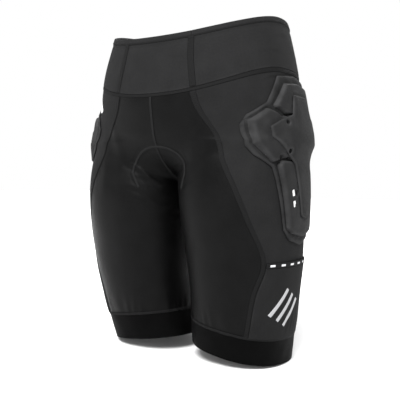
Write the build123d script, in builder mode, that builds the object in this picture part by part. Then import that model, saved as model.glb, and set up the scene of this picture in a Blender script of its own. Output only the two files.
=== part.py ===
from build123d import *
from functools import lru_cache
import math
import os

# Padded impact shorts as they stand when worn: +Z up, front towards -Y, the wearer's left at +X.
# The origin is on the ground plane of the lower hem edges, under the middle of the garment.
# All sizes are millimetres.

# The whole garment
depth_shift = -7.5          # moves the body section so that the origin is midway front to back
squareness = 2.25           # exponent of the rounded body and leg sections, 2 would be an ellipse

# Levels of the garment, measured up the side seam
hem_height = 10.5
hem_band_depth = 40.0
crotch_height = 246.0
crotch_to_hip = 54.0
hip_to_waist_seam = 96.0
waistband_depth = 73.0
hip_height = crotch_height + crotch_to_hip
waist_seam_height = hip_height + hip_to_waist_seam
rim_height = waist_seam_height + waistband_depth

# Body section at each level: half width, reach to the front, reach to the back
crotch_half_width, crotch_front, crotch_back = 160.0, 91.0, 104.0
hip_half_width, hip_front, hip_back = 163.5, 98.0, 116.0
belly_half_width, belly_front, belly_back = 154.0, 104.0, 122.0
seam_half_width, seam_front, seam_back = 145.0, 107.0, 122.0
rim_half_width, rim_front, rim_back = 127.0, 96.5, 117.0

# Leg section at each level: middle across, middle in depth, half width, half depth
hem_leg = (72.5, 22.0, 68.7, 69.2)
knee_leg = (79.5, 12.5, 70.0, 73.5)
low_leg = (84.0, 5.0, 72.8, 78.0)
mid_leg = (84.8, 1.0, 76.8, 82.5)
thigh_leg = (83.5, -1.5, 78.5, 89.5)
top_leg = (81.8, -3.5, 80.0, 93.0)

# The waist is level behind and dips in front: depth where the dip starts, and how fast it falls
seam_start, seam_fall = -15.0, 0.0042
rim_start, rim_fall = 30.0, 0.0020
hem_slope_across, hem_slope_back = -0.15, -0.03

# How pelvis and legs flow into each other
crotch_cap = 66.0           # height over which the underside of the pelvis rounds in
crotch_blend = 24.0         # width of the soft transition at the groin

# Fabric layers: distance off the body section, outside positive
fabric = 1.6
gap = 0.2
band_outer = 0.9
band_fabric = 1.4
elastic_thickness = 1.2
lining_thickness = 1.0
elastic_depth = 30.0
pocket_fabric = 1.2
gripper_thickness = 0.8
gripper_depth = 22.0
thread = 0.5
print_film = 0.3

# Pocket on the outer thigh
pocket_height = 146.0
pocket_tape_depth = 7.0

# Seams: share of the half width at which the side panel starts, at each level
front_seam = [
    (crotch_height * 0.16, 0.80),
    (crotch_height * 0.40, 0.84),
    (pocket_height + 1, 0.895),
    (crotch_height * 0.83, 0.81),
    (crotch_height + 4, 0.715),
    (hip_height + 11, 0.55),
    (hip_height + 58, 0.45),
    (waist_seam_height, 0.42),
]
back_seam = [
    (crotch_height * 0.16, 0.72),
    (pocket_height + 1, 0.76),
    (crotch_height + 4, 0.70),
    (hip_height + 11, 0.60),
    (waist_seam_height, 0.52),
]
band_seam = [(waist_seam_height - 44, 0.46), (waist_seam_height + 36, 0.41)]
stitch_width = 6.0

# Hip pad: centre, layer thicknesses and corner rounding
pad_centre_y = 8.0
pad_centre_z = crotch_height + 31
pad_backing = 0.9
pad_flange = 1.7
pad_foam = 5.4
pad_plate = 2.0
pad_badge = 0.5
pad_corner = 4.0
pad_sweep = 80.0            # half angle of the side that the pad layers cover
vent_radius = 2.2

# Chamois inside the crotch
chamois_base = 2.2
chamois_foam = 5.0
chamois_front_top = crotch_height + 47
chamois_front_half_width = 45.0
chamois_back_top = crotch_height + 66
chamois_back_half_width = 72.0
front_pad_radius, front_pad_drop = 24.0, 32.0
sit_pad_radius, sit_pad_drop, sit_pad_reach = 26.0, 40.0, 34.0

angle_step = 17.0           # widest angle between two points of a drawn section curve
ring_steps = 26             # halvings used to find a point on the body surface
touch = 0.02                # a point this close to the centre plane lies on it


def chart_value(chart, level, column):
    """Smoothly read one column of a size chart at a level."""
    last = len(chart) - 1
    level = min(max(level, chart[0][0]), chart[last][0])
    step = max(i for i in range(last) if chart[i][0] <= level)

    def slope(i):
        low, high = max(i - 1, 0), min(i + 1, last)
        return (chart[high][column] - chart[low][column]) / (chart[high][0] - chart[low][0])

    span = chart[step + 1][0] - chart[step][0]
    t = (level - chart[step][0]) / span
    start, end = chart[step][column], chart[step + 1][column]
    rise = (t**3 - 2 * t**2 + t) * span * slope(step) + (t**3 - t**2) * span * slope(step + 1)
    return start + (3 * t**2 - 2 * t**3) * (end - start) + rise


pelvis_chart = [
    (crotch_height + 4, crotch_half_width, crotch_front, crotch_back),
    (hip_height, hip_half_width, hip_front, hip_back),
    ((hip_height + waist_seam_height) / 2, belly_half_width, belly_front, belly_back),
    (waist_seam_height, seam_half_width, seam_front, seam_back),
    (rim_height, rim_half_width, rim_front, rim_back),
    (rim_height + 39, rim_half_width - 8, rim_front - 6, rim_back - 5),
]
leg_chart = [
    (crotch_height * -0.08, *(hem_leg[0] - 3, hem_leg[1] + 4, hem_leg[2], hem_leg[3] - 0.7)),
    (crotch_height * 0.05, *hem_leg),
    (crotch_height * 0.24, *knee_leg),
    (crotch_height * 0.44, *low_leg),
    (crotch_height * 0.61, *mid_leg),
    (crotch_height * 0.77, *thigh_leg),
    (crotch_height * 0.94, *top_leg),
    (hip_height - 25, top_leg[0] - 2.3, top_leg[1] + 1, top_leg[2] - 1, top_leg[3] - 3.5),
    (hip_height + 10, top_leg[0] - 5.8, top_leg[1] + 4, top_leg[2] - 6, top_leg[3] - 12.5),
]


def waist_dip(y, start, fall):
    return -fall * max(start - y, 0) ** 2


def level_to_z(y, level):
    """Height of a garment level at depth y: level at the sides, lower in front."""
    seam = waist_dip(y, seam_start, seam_fall)
    rim = waist_dip(y, rim_start, rim_fall)
    if level <= hip_height:
        return level
    if level <= waist_seam_height:
        return level + (level - hip_height) / (waist_seam_height - hip_height) * seam
    return level + seam + (level - waist_seam_height) / (rim_height - waist_seam_height) * (rim - seam)


def z_to_level(y, z):
    seam = waist_dip(y, seam_start, seam_fall)
    rim = waist_dip(y, rim_start, rim_fall)
    if z < hip_height:
        return z
    level = hip_height + (z - hip_height) / (1 + seam / (waist_seam_height - hip_height))
    if level <= waist_seam_height:
        return level
    stretch = 1 + (rim - seam) / (rim_height - waist_seam_height)
    return waist_seam_height + (z - waist_seam_height - seam) / stretch


def rounded_distance(u, v, half_u, half_v):
    """Signed distance off a rounded section, negative inside."""
    ratio = (abs(u / half_u) ** squareness + abs(v / half_v) ** squareness) ** (1 / squareness)
    if ratio < 0.3:
        return (ratio - 1) * min(half_u, half_v)
    return (ratio - 1) * math.hypot(u, v) / ratio


def leg_distance(x, y, z):
    middle_x, middle_y, half_x, half_y = [chart_value(leg_chart, z, i) for i in (1, 2, 3, 4)]
    return rounded_distance(x - middle_x, y - middle_y, half_x, half_y) + max(0, z - hip_height) * 0.9


def pelvis_distance(x, y, z):
    bottom = crotch_height + 1
    sunk = max(0, bottom - z) * 3
    z = max(z, bottom)
    level = z_to_level(y, z)
    half_y = chart_value(pelvis_chart, level, 2 if y < 0 else 3)
    half_x = chart_value(pelvis_chart, level, 1)
    below = max(0, crotch_height + crotch_cap - z) / crotch_cap
    shrink = math.sqrt(max(1 - below**2, 0.001))
    return rounded_distance(x, y, half_x * shrink, half_y * shrink) + sunk


def body_distance(x, y, z):
    """Distance off the outer fabric face of the whole garment."""
    leg = leg_distance(abs(x), y, z)
    if z < crotch_height - 30:
        return leg
    pelvis = pelvis_distance(x, y, z)
    overlap = max(crotch_blend - abs(leg - pelvis), 0) / crotch_blend
    return min(leg, pelvis) - overlap**2 * crotch_blend / 4


# Section rows: height on the centre plane, slope across, slope in depth
hem_middle = hem_height - hem_slope_across * hem_leg[0] - hem_slope_back * hem_leg[1]
hem_row = (hem_middle, hem_slope_across, hem_slope_back)
hem_seam_row = (hem_middle + hem_band_depth, hem_slope_across, hem_slope_back)
hem_half_row = (hem_middle + hem_band_depth / 2, hem_slope_across, hem_slope_back)
pocket_to_hem = pocket_height + 1 - hem_seam_row[0]

band_rise = (-0.8, -0.4, 0, 0.35, 0.7, 1.07, 1.47)
upper_rise = (1.25, 1.04, 0.83, 0.62, 0.43, 0.27, 0.12)
band_rows = [(waist_seam_height + rise * waistband_depth, 0, 0) for rise in band_rise]
upper_rows = [(hip_height + rise * hip_to_waist_seam, 0, 0) for rise in upper_rise]
crotch_rise = [
    (0.96, 0.02), (0.74, 0.03), (0.54, 0.04), (0.37, 0.05), (0.24, 0.05), (0.15, 0.05),
    (0.083, 0.05), (0.037, 0.04), (0.006, 0.03), (-0.026, 0.02), (-0.093, 0.02),
]
crotch_rows = [(crotch_height + rise * crotch_to_hip, slope, 0) for rise, slope in crotch_rise]
leg_rows = [(crotch_height * rise, 0, 0) for rise in (0.935, 0.845, 0.73)]
leg_rows += [(pocket_height + 1, 0, 0)]
low_rows = [
    (hem_seam_row[0] + pocket_to_hem * 0.565, hem_slope_across * 0.2, hem_slope_back * 0.33),
    (hem_seam_row[0] + pocket_to_hem * 0.212, hem_slope_across * 0.53, hem_slope_back * 0.67),
]
panel_rows = upper_rows + crotch_rows + leg_rows + low_rows + [hem_seam_row]


def row_height(row, x, y):
    return row[0] + row[1] * x + row[2] * y


def row_axis(row):
    """Point that the rays of a row start from, inside the left leg."""
    level = row_height(row, hem_leg[0], 0)
    return chart_value(leg_chart, level, 1), chart_value(leg_chart, level, 2)


def surface_point(row, angle, offset):
    """Point at an angle round the left half, 0 at the side, -90 in front, offset off the body."""
    middle_x, middle_y = row_axis(row)
    along, aside = math.cos(math.radians(angle)), math.sin(math.radians(angle))
    near, far = 0.0, 340.0
    if along < 0:
        far = min(far, -middle_x / along)

    def outside(reach):
        x, y = middle_x + along * reach, middle_y + aside * reach
        return body_distance(x, y, row_height(row, x, y)) > offset

    if outside(far):
        for _ in range(ring_steps):
            half = (near + far) / 2
            if outside(half):
                far = half
            else:
                near = half
    x, y = middle_x + along * far, middle_y + aside * far
    return Vector(x if x > touch else 0, y, row_height(row, x, y))


def find_angle(row, side, offset, keeps_going, limit=180.0):
    """Angle at which a condition on the surface point stops holding."""
    near, far = 1.0, limit
    for _ in range(ring_steps):
        half = (near + far) / 2
        if keeps_going(surface_point(row, side * half, offset)):
            near = half
        else:
            far = half
    return side * far


@lru_cache(maxsize=None)
def inner_angle(row, side, offset):
    """Angle of the centre seam above the crotch, or of the inseam below it."""
    return find_angle(row, side, offset, lambda point: point.X > 0)


def seam_angle(row, side, chart):
    """Angle of a lengthwise seam, which the chart places as a share of the half width."""
    widest = surface_point(row, 0, 0).X
    share = chart_value(chart, row_height(row, widest, 0), 1)
    return find_angle(row, side, 0, lambda point: point.X > share * widest, 150.0)


@lru_cache(maxsize=None)
def front_edge(row):
    return seam_angle(row, -1, front_seam)


@lru_cache(maxsize=None)
def back_edge(row):
    return seam_angle(row, 1, back_seam)


@lru_cache(maxsize=None)
def band_front_edge(row):
    return seam_angle(row, -1, band_seam)


@lru_cache(maxsize=None)
def band_back_edge(row):
    return seam_angle(row, 1, band_seam)


half_stitch = stitch_width / 2
stitch_angle = math.degrees(half_stitch / thigh_leg[2])


def beside(edge, widths):
    """The angle of a seam moved along the surface by a number of half stitch widths."""
    def moved(row):
        return edge(row) + widths * stitch_angle
    return moved


def section(row, low, high, start, stop):
    """Strip of cloth cut by one row plane, between two offsets and two ends.

    An end is an angle, or "front" or "back" for the centre seam or inseam on that side."""

    def end_angle(end, offset):
        if end == "front":
            return inner_angle(row, -1, offset)
        if end == "back":
            return inner_angle(row, 1, offset)
        return end

    plane = Plane(
        origin=(0, depth_shift, row[0]), x_dir=(1, 0, row[1]), z_dir=(-row[1], -row[2], 1)
    )

    def curve(offset):
        first, last = end_angle(start, offset), end_angle(stop, offset)
        steps = max(3, math.ceil((last - first) / angle_step))
        points = [surface_point(row, first + (last - first) * i / steps, offset) for i in range(steps + 1)]
        places = [plane.to_local_coords(point + Vector(0, depth_shift, 0)) for point in points]
        return [(place.X, place.Y) for place in places]

    outside, inside = curve(high), curve(low)
    with BuildSketch(plane) as strip:
        with BuildLine():
            Spline(*outside)
            Line(outside[-1], inside[-1])
            Spline(*reversed(inside))
            Line(inside[0], outside[0])
        make_face()
    return strip.sketch.face()


def sections(rows, low, high, start, stop):
    """Sections for a run of rows. An end may also be a function of the row."""
    strips = []
    for row in rows:
        first = start(row) if callable(start) else start
        last = stop(row) if callable(stop) else stop
        strips.append(section(row, low, high, first, last))
    return strips


def waist_slab(low, high):
    """Solid between two heights that follow the waist, each a function of the depth."""
    depths = range(-140, 161, 20)
    lower = [(y + depth_shift, low(y)) for y in depths]
    upper = [(y + depth_shift, high(y)) for y in depths]
    with BuildPart() as slab:
        with BuildSketch(Plane.YZ):
            with BuildLine():
                Spline(*lower)
                Line(lower[-1], upper[-1])
                Spline(*reversed(upper))
                Line(upper[0], lower[0])
            make_face()
        extrude(amount=2 * seam_half_width, both=True)
    return slab.part


def finish(name, piece):
    """Label one finished piece and write its file."""
    piece.label = name
    export_step(piece, f"parts/{name}.step")


def finish_pair(name, left):
    """Write a piece of the left half and its mirror image on the right."""
    finish(f"{name}_left", left)
    with BuildPart() as right:
        mirror(left, about=Plane.YZ)
    finish(f"{name}_right", right.part)


os.makedirs("parts", exist_ok=True)

seam_allowance = 0.15
body_zone = waist_slab(lambda y: -30.0, lambda y: level_to_z(y, waist_seam_height) - seam_allowance)
band_zone = waist_slab(
    lambda y: level_to_z(y, waist_seam_height) + seam_allowance, lambda y: level_to_z(y, rim_height)
)

# Body fabric: front, back and side panels, sewn edge to edge
with BuildPart() as front_panel:
    loft(sections=sections(panel_rows, -fabric, 0, "front", front_edge), ruled=True)
    add(body_zone, mode=Mode.INTERSECT)
finish_pair("front_panel", front_panel.part)

with BuildPart() as side_panel:
    loft(sections=sections(panel_rows, -fabric, 0, front_edge, back_edge), ruled=True)
    add(body_zone, mode=Mode.INTERSECT)
finish_pair("side_panel", side_panel.part)

with BuildPart() as back_panel:
    loft(sections=sections(panel_rows, -fabric, 0, back_edge, "back"), ruled=True)
    add(body_zone, mode=Mode.INTERSECT)
finish_pair("back_panel", back_panel.part)

# Waistband: four outer panels, the elastic and the lining inside it
band_low = band_outer - band_fabric
elastic_high = band_low - gap
elastic_low = elastic_high - elastic_thickness
lining_high = elastic_low - gap
lining_low = lining_high - lining_thickness

with BuildPart() as waistband_front:
    loft(sections=sections(band_rows, band_low, band_outer, "front", band_front_edge), ruled=True)
    add(band_zone, mode=Mode.INTERSECT)
    mirror(about=Plane.YZ)
finish("waistband_front", waistband_front.part)

with BuildPart() as waistband_side:
    loft(sections=sections(band_rows, band_low, band_outer, band_front_edge, band_back_edge), ruled=True)
    add(band_zone, mode=Mode.INTERSECT)
finish_pair("waistband_side", waistband_side.part)

with BuildPart() as waistband_back:
    loft(sections=sections(band_rows, band_low, band_outer, band_back_edge, "back"), ruled=True)
    add(band_zone, mode=Mode.INTERSECT)
    mirror(about=Plane.YZ)
finish("waistband_back", waistband_back.part)

elastic_zone = waist_slab(
    lambda y: level_to_z(y, rim_height) - elastic_depth, lambda y: level_to_z(y, rim_height) - 1.5
)
with BuildPart() as waist_elastic:
    loft(sections=sections(band_rows, elastic_low, elastic_high, "front", "back"), ruled=True)
    add(elastic_zone, mode=Mode.INTERSECT)
    mirror(about=Plane.YZ)
finish("waist_elastic", waist_elastic.part)

with BuildPart() as waistband_lining:
    loft(sections=sections(band_rows, lining_low, lining_high, "front", "back"), ruled=True)
    add(band_zone, mode=Mode.INTERSECT)
    mirror(about=Plane.YZ)
finish("waistband_lining", waistband_lining.part)

# Leg ends: hem bands and the elastic grippers inside them
hem_rows = [hem_seam_row, hem_half_row, hem_row]
hem_low, hem_high = -fabric, 0.3
with BuildPart() as hem_band:
    loft(sections=sections(hem_rows, hem_low, hem_high, "front", 0.0), ruled=True)
    loft(sections=sections(hem_rows, hem_low, hem_high, 0.0, "back"), ruled=True)
finish_pair("hem_band", hem_band.part)

gripper_high = hem_low - gap
gripper_low = gripper_high - gripper_thickness
gripper_rows = [(hem_middle + height, hem_slope_across, hem_slope_back) for height in (gripper_depth, 2.0)]
with BuildPart() as hem_gripper:
    loft(sections=sections(gripper_rows, gripper_low, gripper_high, "front", 0.0), ruled=True)
    loft(sections=sections(gripper_rows, gripper_low, gripper_high, 0.0, "back"), ruled=True)
finish_pair("hem_gripper", hem_gripper.part)

# Thigh pocket: an outer layer over the side panel, with a tape along its mouth
pocket_low = gap
pocket_high = pocket_low + pocket_fabric
pocket_front, pocket_back = beside(front_edge, 1.2), beside(back_edge, -1.2)
tape_row = (pocket_height, 0, 0)
mouth_row = (pocket_height - pocket_tape_depth, 0, 0)
pocket_rows = [mouth_row, *low_rows, hem_seam_row]
with BuildPart() as pocket_panel:
    loft(sections=sections(pocket_rows, pocket_low, pocket_high, pocket_front, pocket_back), ruled=True)
finish_pair("pocket_panel", pocket_panel.part)

with BuildPart() as pocket_tape:
    tape_sections = sections([tape_row, mouth_row], pocket_low, pocket_high + gap, pocket_front, pocket_back)
    loft(sections=tape_sections, ruled=True)
finish_pair("pocket_tape", pocket_tape.part)

# Chamois: a thin base that wraps under the crotch, with foam pads on its inner face
base_high = -fabric - 3 * gap
base_low = base_high - chamois_base
foam_high = base_low - gap
foam_low = foam_high - chamois_foam
chamois_rows = [(crotch_height + rise, 0, 0) for rise in (72, 60)] + crotch_rows
chamois_rows += [(crotch_height - drop, 0, 0) for drop in (14, 24)]
chamois_bottom = crotch_height - 22
side_reach = 100.0


def chamois_outline(top, half_width, towards):
    """Arched outline seen from the front or the back, drawn through one side of the garment."""
    shoulder = top - half_width * 0.8
    with BuildPart() as outline:
        with BuildSketch(Plane.XZ.offset(-depth_shift)):
            with BuildLine():
                Spline((-half_width, shoulder), (0, top), (half_width, shoulder), tangents=((0, 1), (0, -1)))
                Line((half_width, shoulder), (half_width * 0.7, chamois_bottom))
                Line((half_width * 0.7, chamois_bottom), (-half_width * 0.7, chamois_bottom))
                Line((-half_width * 0.7, chamois_bottom), (-half_width, shoulder))
            make_face()
        extrude(amount=towards * 2 * seam_back)
    return outline.part


front_arch = chamois_outline(chamois_front_top, chamois_front_half_width, 1)
back_arch = chamois_outline(chamois_back_top, chamois_back_half_width, -1)

with BuildPart() as chamois_front_base:
    loft(sections=sections(chamois_rows, base_low, base_high, "front", -side_reach), ruled=True)
    mirror(about=Plane.YZ)
    add(front_arch, mode=Mode.INTERSECT)
finish("chamois_front_base", chamois_front_base.part)

with BuildPart() as chamois_back_base:
    loft(sections=sections(chamois_rows, base_low, base_high, side_reach, "back"), ruled=True)
    mirror(about=Plane.YZ)
    add(back_arch, mode=Mode.INTERSECT)
finish("chamois_back_base", chamois_back_base.part)

# Foam pads on the chamois: a long one in front, and two under the sit bones
with BuildPart() as chamois_front_pad:
    loft(sections=sections(chamois_rows, foam_low, foam_high, "front", -side_reach), ruled=True)
    mirror(about=Plane.YZ)
    with BuildSketch(Plane.XZ.offset(-depth_shift)):
        with Locations((0, chamois_front_top - front_pad_drop)):
            Circle(front_pad_radius)
    extrude(amount=2 * seam_front, mode=Mode.INTERSECT)
finish("chamois_front_pad", chamois_front_pad.part)

with BuildPart() as chamois_sit_pad:
    loft(sections=sections(chamois_rows, foam_low, foam_high, side_reach, "back"), ruled=True)
    with BuildSketch(Plane.XZ.offset(-depth_shift)):
        with Locations((sit_pad_reach, chamois_back_top - sit_pad_drop)):
            Circle(sit_pad_radius)
    extrude(amount=-2 * seam_back, mode=Mode.INTERSECT)
finish_pair("chamois_sit_pad", chamois_sit_pad.part)

# Hip pads: layers moulded to the side of the hip, cut by outlines about the middle of the pad.
# Outline points are (depth, height) from that middle; symmetric outlines list the rear half.
pad_rows = upper_rows[1:] + crotch_rows + leg_rows
backing_low = gap
backing_high = backing_low + pad_backing
flange_low = backing_high + gap / 2
flange_high = flange_low + pad_flange
foam_start = flange_high + gap / 2
foam_end = foam_start + pad_foam
plate_low = foam_end + gap / 2
plate_high = plate_low + pad_plate

flange_outline = [
    (0, 111), (39, 107), (58, 72), (79, 55), (84, 42), (84, 16),
    (78, 4), (60, -10), (41, -90), (30, -103), (0, -111),
]
backing_outline = [
    (0, 105), (35, 101), (53, 67), (74, 50), (78, 40), (78, 18),
    (73, 9), (55, -13), (36, -87), (27, -97), (0, -105),
]
upper_lobe_outline = [(0, 101), (31, 98), (53, 67), (45, 58), (0, 58)]
centre_block_outline = [(0, 57), (33, 57), (33, 0), (0, 0)]
lower_lobe_outline = [(0, -1), (47, -1), (54, -7), (37, -88), (28, -94), (0, -100)]
wing_outline = [(34, 55), (46, 57), (61, 64), (79.5, 48), (79.5, 19), (61, -4), (46, 1), (34, 3)]
plate_outline = [
    (0, 84), (21, 84), (29, 58), (50, 50), (64, 41), (64, 27), (50, 16), (26, -6), (12, -72), (0, -76)
]
vents = [(41, 47), (38, 11), (22, -42)]
large_vent_place, large_vent_radius = (48.5, 1.5), 3.5
slot_place, slot_length, slot_turn, slot_radius = (47, 59.5), 12.5, 38.0, 2.7


def both_sides(half):
    """Whole outline from its rear half, from the top down and up again."""
    return half + [(-y, z) for y, z in reversed(half) if y > 0]


def front_side(half):
    return [(-y, z) for y, z in half]


pad_plane = Plane(origin=(0, pad_centre_y + depth_shift, pad_centre_z), x_dir=(0, 1, 0), z_dir=(1, 0, 0))


def pad_prism(outline, corner=pad_corner):
    """Solid that cuts one outline out of a pad layer, with rounded corners."""
    with BuildPart() as prism:
        with BuildSketch(pad_plane) as shape:
            with BuildLine():
                Polyline(*outline, close=True)
            make_face()
            fillet(shape.vertices(), corner)
        extrude(amount=2 * hip_half_width)
    return prism.part


# Small round and slotted vents through the foam and the plate, front and rear
with BuildPart() as vent_pins:
    with BuildSketch(pad_plane):
        with Locations(*vents, *front_side(vents)):
            Circle(vent_radius)
        with Locations(large_vent_place, *front_side([large_vent_place])):
            Circle(large_vent_radius)
        for end in (-1, 1):
            with Locations((end * slot_place[0], slot_place[1])):
                SlotOverall(slot_length, 2 * slot_radius, rotation=end * slot_turn)
    extrude(amount=2 * hip_half_width)

with BuildPart() as pad_layer:
    loft(sections=sections(pad_rows, backing_low, backing_high, -pad_sweep, pad_sweep), ruled=True)
    add(pad_prism(both_sides(backing_outline)), mode=Mode.INTERSECT)
finish_pair("hip_pad_backing", pad_layer.part)

with BuildPart() as pad_layer:
    loft(sections=sections(pad_rows, flange_low, flange_high, -pad_sweep, pad_sweep), ruled=True)
    add(pad_prism(both_sides(flange_outline)), mode=Mode.INTERSECT)
finish_pair("hip_pad_flange", pad_layer.part)

with BuildPart() as foam_layer:
    loft(sections=sections(pad_rows, foam_start, foam_end, -pad_sweep, pad_sweep), ruled=True)

foam_pieces = [
    ("hip_pad_upper_lobe", both_sides(upper_lobe_outline), pad_corner),
    ("hip_pad_centre_block", both_sides(centre_block_outline), 1.0),
    ("hip_pad_lower_lobe", both_sides(lower_lobe_outline), pad_corner),
    ("hip_pad_front_wing", front_side(wing_outline), 1.0),
    ("hip_pad_rear_wing", wing_outline, 1.0),
]
for foam_name, foam_outline, foam_corner in foam_pieces:
    with BuildPart() as foam_piece:
        add(foam_layer.part)
        add(pad_prism(foam_outline, foam_corner), mode=Mode.INTERSECT)
        add(vent_pins.part, mode=Mode.SUBTRACT)
    finish_pair(foam_name, foam_piece.part)

with BuildPart() as pad_plate_piece:
    loft(sections=sections(pad_rows, plate_low, plate_high, -pad_sweep, pad_sweep), ruled=True)
    add(pad_prism(both_sides(plate_outline)), mode=Mode.INTERSECT)
    add(vent_pins.part, mode=Mode.SUBTRACT)
finish_pair("hip_pad_centre_plate", pad_plate_piece.part)

# Plain badge of three slanted bars on the lower lobe, in front of the plate
badge_low = foam_end + gap / 2
badge_high = badge_low + pad_badge
badge_places = [(-35, -28), (-32.5, -42), (-30, -56)]
badge_width, badge_length, badge_turn = 6.0, 9.0, 12.0
with BuildPart() as badge_prism:
    with BuildSketch(pad_plane):
        with Locations(*badge_places):
            Rectangle(badge_width, badge_length, rotation=badge_turn)
    extrude(amount=2 * hip_half_width)

with BuildPart() as pad_badge_piece:
    loft(sections=sections(pad_rows, badge_low, badge_high, -pad_sweep, 0.0), ruled=True)
    add(badge_prism.part, mode=Mode.INTERSECT)
finish_pair("hip_pad_badge", pad_badge_piece.part)

# Reflective prints: slanted bars on each pocket, and one dash on the right hip
print_rows = [(pocket_height - drop, 0, 0) for drop in (21, 36, 51, 66, 82, 96)]
print_places = [(-22, pocket_height - 54), (-8, pocket_height - 62), (6, pocket_height - 70)]
print_width, print_length, print_turn = 6.0, 42.0, -35.0
hip_print_place = (-70, waist_seam_height - 48)
hip_print_length, hip_print_width, hip_print_turn = 26.0, 8.0, 65.0
print_low = pocket_high + gap / 2
with BuildPart() as thigh_print:
    loft(sections=sections(print_rows, print_low, print_low + print_film, -70.0, 30.0), ruled=True)
    with BuildSketch(Plane.YZ):
        with Locations(*print_places):
            Rectangle(print_width, print_length, rotation=print_turn)
    extrude(amount=2 * hip_half_width, mode=Mode.INTERSECT)
finish_pair("thigh_print", thigh_print.part)

with BuildPart() as left_hip_print:
    loft(sections=sections(upper_rows, gap, gap + print_film, -100.0, 0.0), ruled=True)
    with BuildSketch(Plane.YZ):
        with Locations(hip_print_place):
            SlotOverall(hip_print_length, hip_print_width, rotation=hip_print_turn)
    extrude(amount=2 * hip_half_width, mode=Mode.INTERSECT)
with BuildPart() as hip_print:
    mirror(left_hip_print.part, about=Plane.YZ)
finish("hip_print_right", hip_print.part)

# Seam stitching: flat bands of thread that cover each join
thread_low = gap / 2
thread_high = thread_low + thread
band_thread_low = band_outer + gap / 2
band_thread_high = band_thread_low + thread


under_waist_zone = waist_slab(
    lambda y: -30.0, lambda y: level_to_z(y, waist_seam_height) - stitch_width
)


def stitch_sections(rows, low, high, edge):
    return sections(rows, low, high, beside(edge, -1), beside(edge, 1))


with BuildPart() as front_seam_stitching:
    loft(sections=stitch_sections(panel_rows, thread_low, thread_high, front_edge), ruled=True)
    add(under_waist_zone, mode=Mode.INTERSECT)
finish_pair("front_seam_stitching", front_seam_stitching.part)

with BuildPart() as back_seam_stitching:
    loft(sections=stitch_sections(panel_rows, thread_low, thread_high, back_edge), ruled=True)
    add(under_waist_zone, mode=Mode.INTERSECT)
finish_pair("back_seam_stitching", back_seam_stitching.part)


def centre_strip_end(side):
    """Angle of a point half a stitch width off the centre plane, on one side of the garment."""
    def end(row):
        return find_angle(row, side, 0, lambda point: point.X > half_stitch)
    return end


centre_rows = upper_rows + crotch_rows[:-3]
with BuildPart() as centre_front_stitching:
    loft(sections=sections(centre_rows, thread_low, thread_high, "front", centre_strip_end(-1)), ruled=True)
    add(under_waist_zone, mode=Mode.INTERSECT)
    mirror(about=Plane.YZ)
finish("centre_front_stitching", centre_front_stitching.part)

with BuildPart() as centre_back_stitching:
    loft(sections=sections(centre_rows, thread_low, thread_high, centre_strip_end(1), "back"), ruled=True)
    add(under_waist_zone, mode=Mode.INTERSECT)
    mirror(about=Plane.YZ)
finish("centre_back_stitching", centre_back_stitching.part)

waist_thread_zone = waist_slab(
    lambda y: level_to_z(y, waist_seam_height) - stitch_width + seam_allowance,
    lambda y: level_to_z(y, waist_seam_height) - seam_allowance,
)
with BuildPart() as waist_seam_stitching:
    loft(sections=sections(upper_rows[:6], thread_low, thread_high, "front", "back"), ruled=True)
    add(waist_thread_zone, mode=Mode.INTERSECT)
    mirror(about=Plane.YZ)
finish("waist_seam_stitching", waist_seam_stitching.part)

rim_thread_zone = waist_slab(
    lambda y: level_to_z(y, rim_height) - stitch_width, lambda y: level_to_z(y, rim_height) - half_stitch
)
with BuildPart() as rim_stitching:
    loft(sections=sections(band_rows, band_thread_low, band_thread_high, "front", "back"), ruled=True)
    add(rim_thread_zone, mode=Mode.INTERSECT)
    mirror(about=Plane.YZ)
finish("rim_stitching", rim_stitching.part)

band_seam_zone = waist_slab(
    lambda y: level_to_z(y, waist_seam_height) + 1.0, lambda y: level_to_z(y, rim_height) - stitch_width - 1.0
)
with BuildPart() as band_seam_stitching:
    loft(sections=stitch_sections(band_rows, band_thread_low, band_thread_high, band_front_edge), ruled=True)
    loft(sections=stitch_sections(band_rows, band_thread_low, band_thread_high, band_back_edge), ruled=True)
    add(band_seam_zone, mode=Mode.INTERSECT)
    mirror(about=Plane.YZ)
finish("band_seam_stitching", band_seam_stitching.part)

hem_thread_rows = [
    (hem_seam_row[0] - height, hem_slope_across, hem_slope_back) for height in (1.0, 1.0 + half_stitch)
]
hem_thread_low = hem_high + gap / 2
hem_thread_high = hem_thread_low + thread
with BuildPart() as hem_stitching:
    loft(sections=sections(hem_thread_rows, hem_thread_low, hem_thread_high, "front", 0.0), ruled=True)
    loft(sections=sections(hem_thread_rows, hem_thread_low, hem_thread_high, 0.0, "back"), ruled=True)
finish_pair("hem_stitching", hem_stitching.part)

outline_low = thread_high + gap / 2
outer_arch = chamois_outline(chamois_front_top, chamois_front_half_width, 1)
inner_arch = chamois_outline(chamois_front_top - half_stitch, chamois_front_half_width - half_stitch, 1)
with BuildPart() as chamois_stitching:
    outline_sections = sections(chamois_rows[:-4], outline_low, outline_low + thread, "front", -side_reach)
    loft(sections=outline_sections, ruled=True)
    mirror(about=Plane.YZ)
    add(outer_arch, mode=Mode.INTERSECT)
    add(inner_arch, mode=Mode.SUBTRACT)
finish("chamois_stitching", chamois_stitching.part)
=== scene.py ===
import bpy
import math
import numpy as np
from mathutils import Matrix, Vector
from mathutils.geometry import delaunay_2d_cdt


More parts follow.
